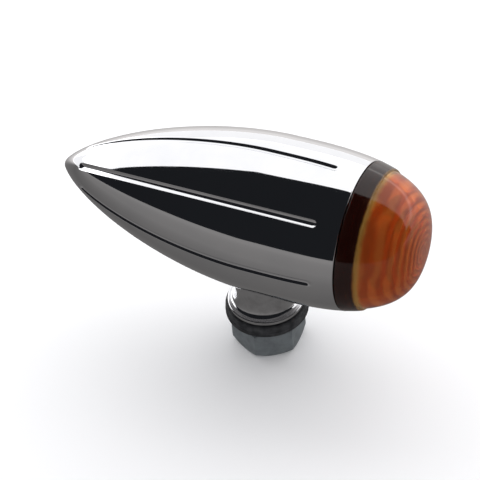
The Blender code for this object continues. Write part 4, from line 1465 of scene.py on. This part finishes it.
class SIGNAL_OT_bulb_glass(bpy.types.Operator):
    """Blow the bulb's glass and make the glass mount inside it"""

    bl_idname = "signal.bulb_glass"
    bl_label = "Bulb glass"

    def execute(self, context):
        wall, neck, globe = 0.5 * MM, 6.6 * MM, half_span("bulb_glass", Z)
        start_x, straight_x, globe_x = low("bulb_glass", X), 6.0 * MM, BULB_TIP_X - globe
        join_x = globe_x - 8.4 * MM  # where the neck's curve runs into the globe
        join_radius = math.sqrt(globe**2 - (globe_x - join_x) ** 2)
        slope = (globe_x - join_x) / join_radius * (join_x - straight_x)
        outside = [(neck, start_x), (neck, straight_x)]
        neck_steps = 14
        for step in range(1, neck_steps + 1):
            share = step / neck_steps
            blend = 3 * share**2 - 2 * share**3
            lift = share**3 - share**2
            x = straight_x + (join_x - straight_x) * share
            outside.append((neck + (join_radius - neck) * blend + slope * lift, x))
        first = math.atan2(join_radius, join_x - globe_x)
        globe_steps = 30
        for step in range(1, globe_steps + 1):
            angle = first * (1 - step / globe_steps)
            outside.append((globe * math.sin(angle), globe_x + globe * math.cos(angle)))
        outside[-1] = (0, BULB_TIP_X)
        inside = [(radius - wall, x) for radius, x in outside[: neck_steps + 2]]
        for step in range(1, globe_steps + 1):
            angle = first * (1 - step / globe_steps)
            inside.append(((globe - wall) * math.sin(angle), globe_x + (globe - wall) * math.cos(angle)))
        inside[-1] = (0, BULB_TIP_X - wall)
        glass = turned("bulb_globe", outside + inside[::-1], steps=96)
        finish_edges(glass, 0)
        fit(glass, "bulb_glass", "clear_blown_glass")

        foot, foot_x, rod, tip_x = 5.5 * MM, 1.0 * MM, 1.9 * MM, 13.2 * MM
        outline = [(0, foot_x), (foot, foot_x), (foot, 1.5 * MM)]
        outline += flared(foot - 0.2 * MM, rod, 1.9 * MM, 7.9 * MM, 12)
        outline += [(rod, 13.0 * MM)] + arc(rod - MM, tip_x, MM, 0, 80, 6) + [(0, tip_x + MM)]
        mount = turned("glass_mount", outline, steps=64)
        pinch_x, pinch_length, pinched_away = 9 * MM, 3 * MM, 0.55
        for vert in mount.data.vertices:
            pinch = min(max((vert.co.x - pinch_x) / pinch_length, 0), 1)
            vert.co.z = AXIS_Z + (vert.co.z - AXIS_Z) * (1 - pinched_away * pinch)
        finish_edges(mount, 0)
        fit(mount, "bulb_mount", "clear_blown_glass")
        return {"FINISHED"}


class SIGNAL_OT_filament(bpy.types.Operator):
    """Bend the two support wires and wind the filament between them"""

    bl_idname = "signal.filament"
    bl_label = "Filament and supports"

    def execute(self, context):
        filament_x, root_x = BULB_END_X + 38.5 * MM, 14.6 * MM
        root_y, spread_y, overshoot = 1.0 * MM, 2.9 * MM, 0.6 * MM
        rows = 22
        for index, side in enumerate((1, -1), 1):
            points = []
            for step in range(rows + 1):
                share = step / rows
                x = root_x + (filament_x + overshoot - root_x) * share
                spread = min(max((share - 0.12) / 0.6, 0), 1)
                y = side * (root_y + spread_y * (3 * spread**2 - 2 * spread**3))
                points.append(Vector((x, y, AXIS_Z)))
            support = bent_wire(f"support_wire_{index}", points, 0.22 * MM, 3)
            finish_edges(support, 0)
            fit(support, f"bulb_support_{index}", "support_nickel_wire")

        turns, steps_per_turn = 14, 12
        half_width, coil_radius, rise = 3.45 * MM, 0.5 * MM, 1.2 * MM
        points = []
        for step in range(turns * steps_per_turn + 1):
            share = step / (turns * steps_per_turn)
            angle = FULL_TURN * step / steps_per_turn
            x = filament_x + rise * math.sin(math.pi * share) + coil_radius * math.cos(angle)
            points.append(Vector((x, half_width * (2 * share - 1), AXIS_Z + coil_radius * math.sin(angle))))
        coil = bent_wire("filament_coil", points, 0.09 * MM, 2)
        finish_edges(coil, 0)
        fit(coil, "bulb_filament", "tungsten_wire")
        return {"FINISHED"}


# ---- the lens


def lens_outline(sizes):
    """Spigot with its seal groove, collar, stepped dome and the ringed inside."""
    back_x, spigot, bore = low("lens", X), MOUTH_RADIUS - 0.4 * MM, 15.0 * MM
    groove_low, groove_high, groove_radius = 26.0 * MM, 28.4 * MM, 16.4 * MM
    collar_x = SEAM_X + TOUCH_GAP
    outline = [(bore, back_x), (spigot - 0.5 * MM, back_x), (spigot, back_x + 0.5 * MM)]
    outline += [(spigot, groove_low), (groove_radius, groove_low), (groove_radius, groove_high)]
    outline += [(spigot, groove_high), (spigot, collar_x)]
    rim = 0.25 * MM
    outline += arc(bullet_radius(collar_x) - rim, collar_x + rim, rim, -90, 0, 4)
    collar_rows = 10
    for step in range(1, collar_rows + 1):
        x = collar_x + rim + (COLLAR_END_X - rim - collar_x - rim) * step / collar_rows
        outline.append((bullet_radius(x), x))
    outline += arc(bullet_radius(COLLAR_END_X) - rim, COLLAR_END_X - rim, rim, 20, 90, 4)
    dome_start = bullet_radius(COLLAR_END_X) * DOME_SHARE
    outline.append((dome_start, COLLAR_END_X))
    dome_rows, least_rise = 44, 0.05 * MM
    for step in range(1, dome_rows):
        radius = dome_start * math.cos(math.pi / 2 * step / dome_rows)
        place = dome_place(radius)
        if place > COLLAR_END_X + least_rise:
            outline.append((radius, place))
    outline.append((0, LENS_TOP_X))

    wall, squeeze, spacing, edge_x = 2.0 * MM, 0.9, 0.2 * MM, COLLAR_END_X - 1.6 * MM
    inner_start = dome_start * squeeze
    inside = [(0, LENS_TOP_X - wall)]
    rows = int(inner_start / spacing)
    for step in range(1, rows + 1):
        radius = inner_start * step / rows
        ring = (radius / sizes.lens_ring_pitch) % 1.0
        place = dome_place(radius / squeeze) - wall - sizes.lens_ring_height * ring * (1 - ring) * 4
        if place > edge_x + spacing:
            inside.append((radius, place))
    inside += [(inner_start, edge_x), (bore, collar_x)]
    return outline + inside


class SIGNAL_OT_lens(bpy.types.Operator):
    """Mould the amber lens with its collar, seal groove and inner rings"""

    bl_idname = "signal.lens"
    bl_label = "Lens"

    def execute(self, context):
        dome = turned("amber_dome", lens_outline(context.scene.signal_sizes), steps=144)
        finish_edges(dome, 0, smooth=30)
        fit(dome, "lens", "amber_moulding")
        return {"FINISHED"}


class SIGNAL_OT_seal(bpy.types.Operator):
    """Roll the lens seal with its parting lines"""

    bl_idname = "signal.seal"
    bl_label = "Lens seal"

    def execute(self, context):
        deselect_all()
        bpy.ops.mesh.primitive_torus_add(
            location=(SEAL_X, 0, AXIS_Z),
            rotation=(0, math.radians(90), 0),
            major_radius=17.6 * MM,
            minor_radius=0.78 * MM,
            major_segments=120,
            minor_segments=20,
        )
        ring = bpy.context.object
        ring.name = "o_ring"
        drop_in_place(ring, ring.location.copy(), ring.rotation_euler.copy())
        flash, flash_half = 0.04 * MM, 0.05 * MM
        press(ring, -flash, lambda point: 1.0 if abs(point.x - SEAL_X) < flash_half else 0.0)
        finish_edges(ring, 0, smooth=60)
        fit(ring, "lens_seal", "seal_rubber_grain")
        return {"FINISHED"}


# ---- the studio


def emission_panel(name, location, size, brightness, target, turn=0):
    """A soft, even light panel that faces its target, turned by some degrees about its own middle."""
    width, height = size
    lamp = bpy.data.lights.new(name, "AREA")
    lamp.shape = "RECTANGLE"
    lamp.size, lamp.size_y = width, height
    lamp.energy = brightness * math.pi * width * height
    panel = bpy.data.objects.new(name, lamp)
    bpy.context.scene.collection.objects.link(panel)
    panel.location = location
    facing = Vector(target) - Vector(location)
    spin = Quaternion((0, 0, 1), math.radians(turn))
    panel.rotation_euler = (facing.to_track_quat("-Z", "Y") @ spin).to_euler()
    panel.visible_camera = False
    return panel


class SIGNAL_OT_studio(bpy.types.Operator):
    """Lay the floor, hang the lights and place the camera"""

    bl_idname = "signal.studio"
    bl_label = "Studio"

    def execute(self, context):
        studio, colours = context.scene.signal_studio, context.scene.signal_colours
        self.floor(colours)
        self.lights(studio)
        self.world(context.scene)
        self.camera(context.scene, studio)
        context.scene.view_settings.view_transform = "Standard"
        return {"FINISHED"}

    def floor(self, colours):
        """A wide pale sweep; glossy rays see a painted grey reflection in its place, with painted shadow
        darkest just under and in front of the signal.
        """
        deselect_all()
        bpy.ops.mesh.primitive_grid_add(
            x_subdivisions=4, y_subdivisions=4, size=8, location=(0, 0, NUT_LOW)
        )
        sweep = bpy.context.object
        sweep.name = "studio_floor"
        drop_in_place(sweep, sweep.location.copy())
        paper = Finish("floor_paper", colours.floor, 0.8)
        paper.set("Specular IOR Level", 0.1)
        paper.bump(paper.noise(900, 4), 0.05, 0.00005)
        path = paper.nodes.new("ShaderNodeLightPath")
        mirrored = paper.node("ShaderNodeEmission", Strength=1.0)
        split = paper.nodes.new("ShaderNodeSeparateXYZ")
        ramp = paper.nodes.new("ShaderNodeValToRGB")
        front_y, back_y = -0.6, 0.4
        # painted reflection: greys that glossy rays see in place of the floor, with a painted contact shadow
        # darkest around y = 0
        painted_reflection_shades = (
            (front_y, 0.26),
            (-0.12, 0.21),
            (-0.02, 0.13),
            (0.03, 0.18),
            (0.14, 0.62),
            (back_y, 0.9),
        )
        elements = ramp.color_ramp.elements
        for index, (place, shade) in enumerate(painted_reflection_shades):
            position = (place - front_y) / (back_y - front_y)
            element = elements[index] if index < 2 else elements.new(position)
            element.position = position
            element.color = (shade, shade * 0.97, shade * 0.95, 1)
        paper.links.new(paper.place, split.inputs["Vector"])
        paper.links.new(paper.span(split.outputs["Y"], 0.0, 1.0, front_y, back_y), ramp.inputs["Fac"])
        paper.links.new(ramp.outputs["Color"], mirrored.inputs["Color"])
        # glossy rays get the painted reflection, all other rays the floor paper
        choose = paper.nodes.new("ShaderNodeMixShader")
        output = paper.nodes["Material Output"]
        paper.links.new(path.outputs["Is Glossy Ray"], choose.inputs["Fac"])
        paper.links.new(paper.shader.outputs["BSDF"], choose.inputs[1])
        paper.links.new(mirrored.outputs["Emission"], choose.inputs[2])
        paper.links.new(choose.outputs["Shader"], output.inputs["Surface"])
        sweep.data.materials.append(paper.material)
        sweep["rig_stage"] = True

    def lights(self, studio):
        """Hangs a wide panel overhead, one behind and a small one at the nose's side."""
        middle_x, top_y = -0.6, 1.65
        over, behind, beside = (middle_x, top_y, 1.2), (middle_x, 3.0, 0.55), (-2.4, 0.9, 0.5)
        emission_panel("top_panel", over, (14.0, 3.0), studio.top_light, (middle_x, top_y, 0), 14)
        emission_panel("back_panel", behind, (14.0, 1.5), studio.back_light, (middle_x, 0, 0.55))
        emission_panel("side_panel", beside, (2.6, 1.5), studio.back_light, (0, 0, 0.3))

    def world(self, scene):
        """Pale where the camera sees past the floor, dim in reflections so the chrome keeps its dark band."""
        world = bpy.data.worlds.new("studio_world")
        scene.world = world
        world.use_nodes = True
        nodes, links = world.node_tree.nodes, world.node_tree.links
        background = nodes["Background"]
        path = nodes.new("ShaderNodeLightPath")
        seen = nodes.new("ShaderNodeMix")
        seen.data_type = "RGBA"
        seen.inputs[6].default_value = (0.70, 0.70, 0.71, 1)
        seen.inputs[7].default_value = (0.93, 0.93, 0.94, 1)
        mirrored = nodes.new("ShaderNodeMix")
        mirrored.data_type = "RGBA"
        mirrored.inputs[7].default_value = (0.012, 0.013, 0.015, 1)
        links.new(path.outputs["Is Camera Ray"], seen.inputs["Factor"])
        links.new(path.outputs["Is Glossy Ray"], mirrored.inputs["Factor"])
        links.new(seen.outputs[2], mirrored.inputs[6])
        links.new(mirrored.outputs[2], background.inputs["Color"])

    def camera(self, scene, studio):
        """Stands the camera off the signal's middle, at the studio's angles."""
        data = bpy.data.cameras.new("studio_camera")
        data.lens = studio.focal_length
        data.sensor_width = 36.0  # in millimetres, as the focal length is
        data.clip_start, data.clip_end = 0.01, 50.0
        camera = bpy.data.objects.new("studio_camera", data)
        scene.collection.objects.link(camera)
        low_corner, high_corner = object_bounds()
        middle = (Vector(low_corner) + Vector(high_corner)) / 2
        level = math.cos(studio.elevation)
        side, forward = math.sin(studio.azimuth) * level, math.cos(studio.azimuth) * level
        back = Vector((side, -forward, math.sin(studio.elevation)))
        camera.location = middle + back * studio.distance
        look = (-back).to_track_quat("-Z", "Y")
        roll = Quaternion((0, 0, 1), studio.roll)
        camera.rotation_mode = "QUATERNION"
        camera.rotation_quaternion = look @ roll
        scene.camera = camera


class SIGNAL_PT_builder(bpy.types.Panel):
    """Lists the steps that build the signal."""

    bl_idname = "SIGNAL_PT_builder"
    bl_label = "Bullet turn signal"
    bl_space_type = "VIEW_3D"
    bl_region_type = "UI"
    bl_category = "Signal"

    def draw(self, context):
        layout = self.layout
        for group in SETTINGS:
            settings = getattr(context.scene, group)
            column = layout.column(align=True)
            for name in settings.__annotations__:
                column.prop(settings, name)
        for step in STEPS:
            layout.operator(step.bl_idname)


STEPS = (
    SIGNAL_OT_housing,
    SIGNAL_OT_neck,
    SIGNAL_OT_bolt,
    SIGNAL_OT_lock_washer,
    SIGNAL_OT_grommet,
    SIGNAL_OT_washer,
    SIGNAL_OT_nut,
    SIGNAL_OT_reflector,
    SIGNAL_OT_socket,
    SIGNAL_OT_terminals,
    SIGNAL_OT_contact,
    SIGNAL_OT_bulb_cap,
    SIGNAL_OT_bulb_glass,
    SIGNAL_OT_filament,
    SIGNAL_OT_lens,
    SIGNAL_OT_seal,
    SIGNAL_OT_studio,
)
SETTINGS = {"signal_sizes": SignalSizes, "signal_colours": SignalColours, "signal_studio": StudioSettings}


def register():
    for settings in SETTINGS.values():
        bpy.utils.register_class(settings)
    for name, settings in SETTINGS.items():
        setattr(bpy.types.Scene, name, bpy.props.PointerProperty(type=settings))
    for step in STEPS:
        bpy.utils.register_class(step)
    bpy.utils.register_class(SIGNAL_PT_builder)


def unregister():
    bpy.utils.unregister_class(SIGNAL_PT_builder)
    for step in reversed(STEPS):
        bpy.utils.unregister_class(step)
    for name in SETTINGS:
        delattr(bpy.types.Scene, name)
    for settings in reversed(SETTINGS.values()):
        bpy.utils.unregister_class(settings)


def main():
    register()
    for step in STEPS:
        group, name = step.bl_idname.split(".")
        getattr(getattr(bpy.ops, group), name)()


if __name__ == "__main__":
    main()
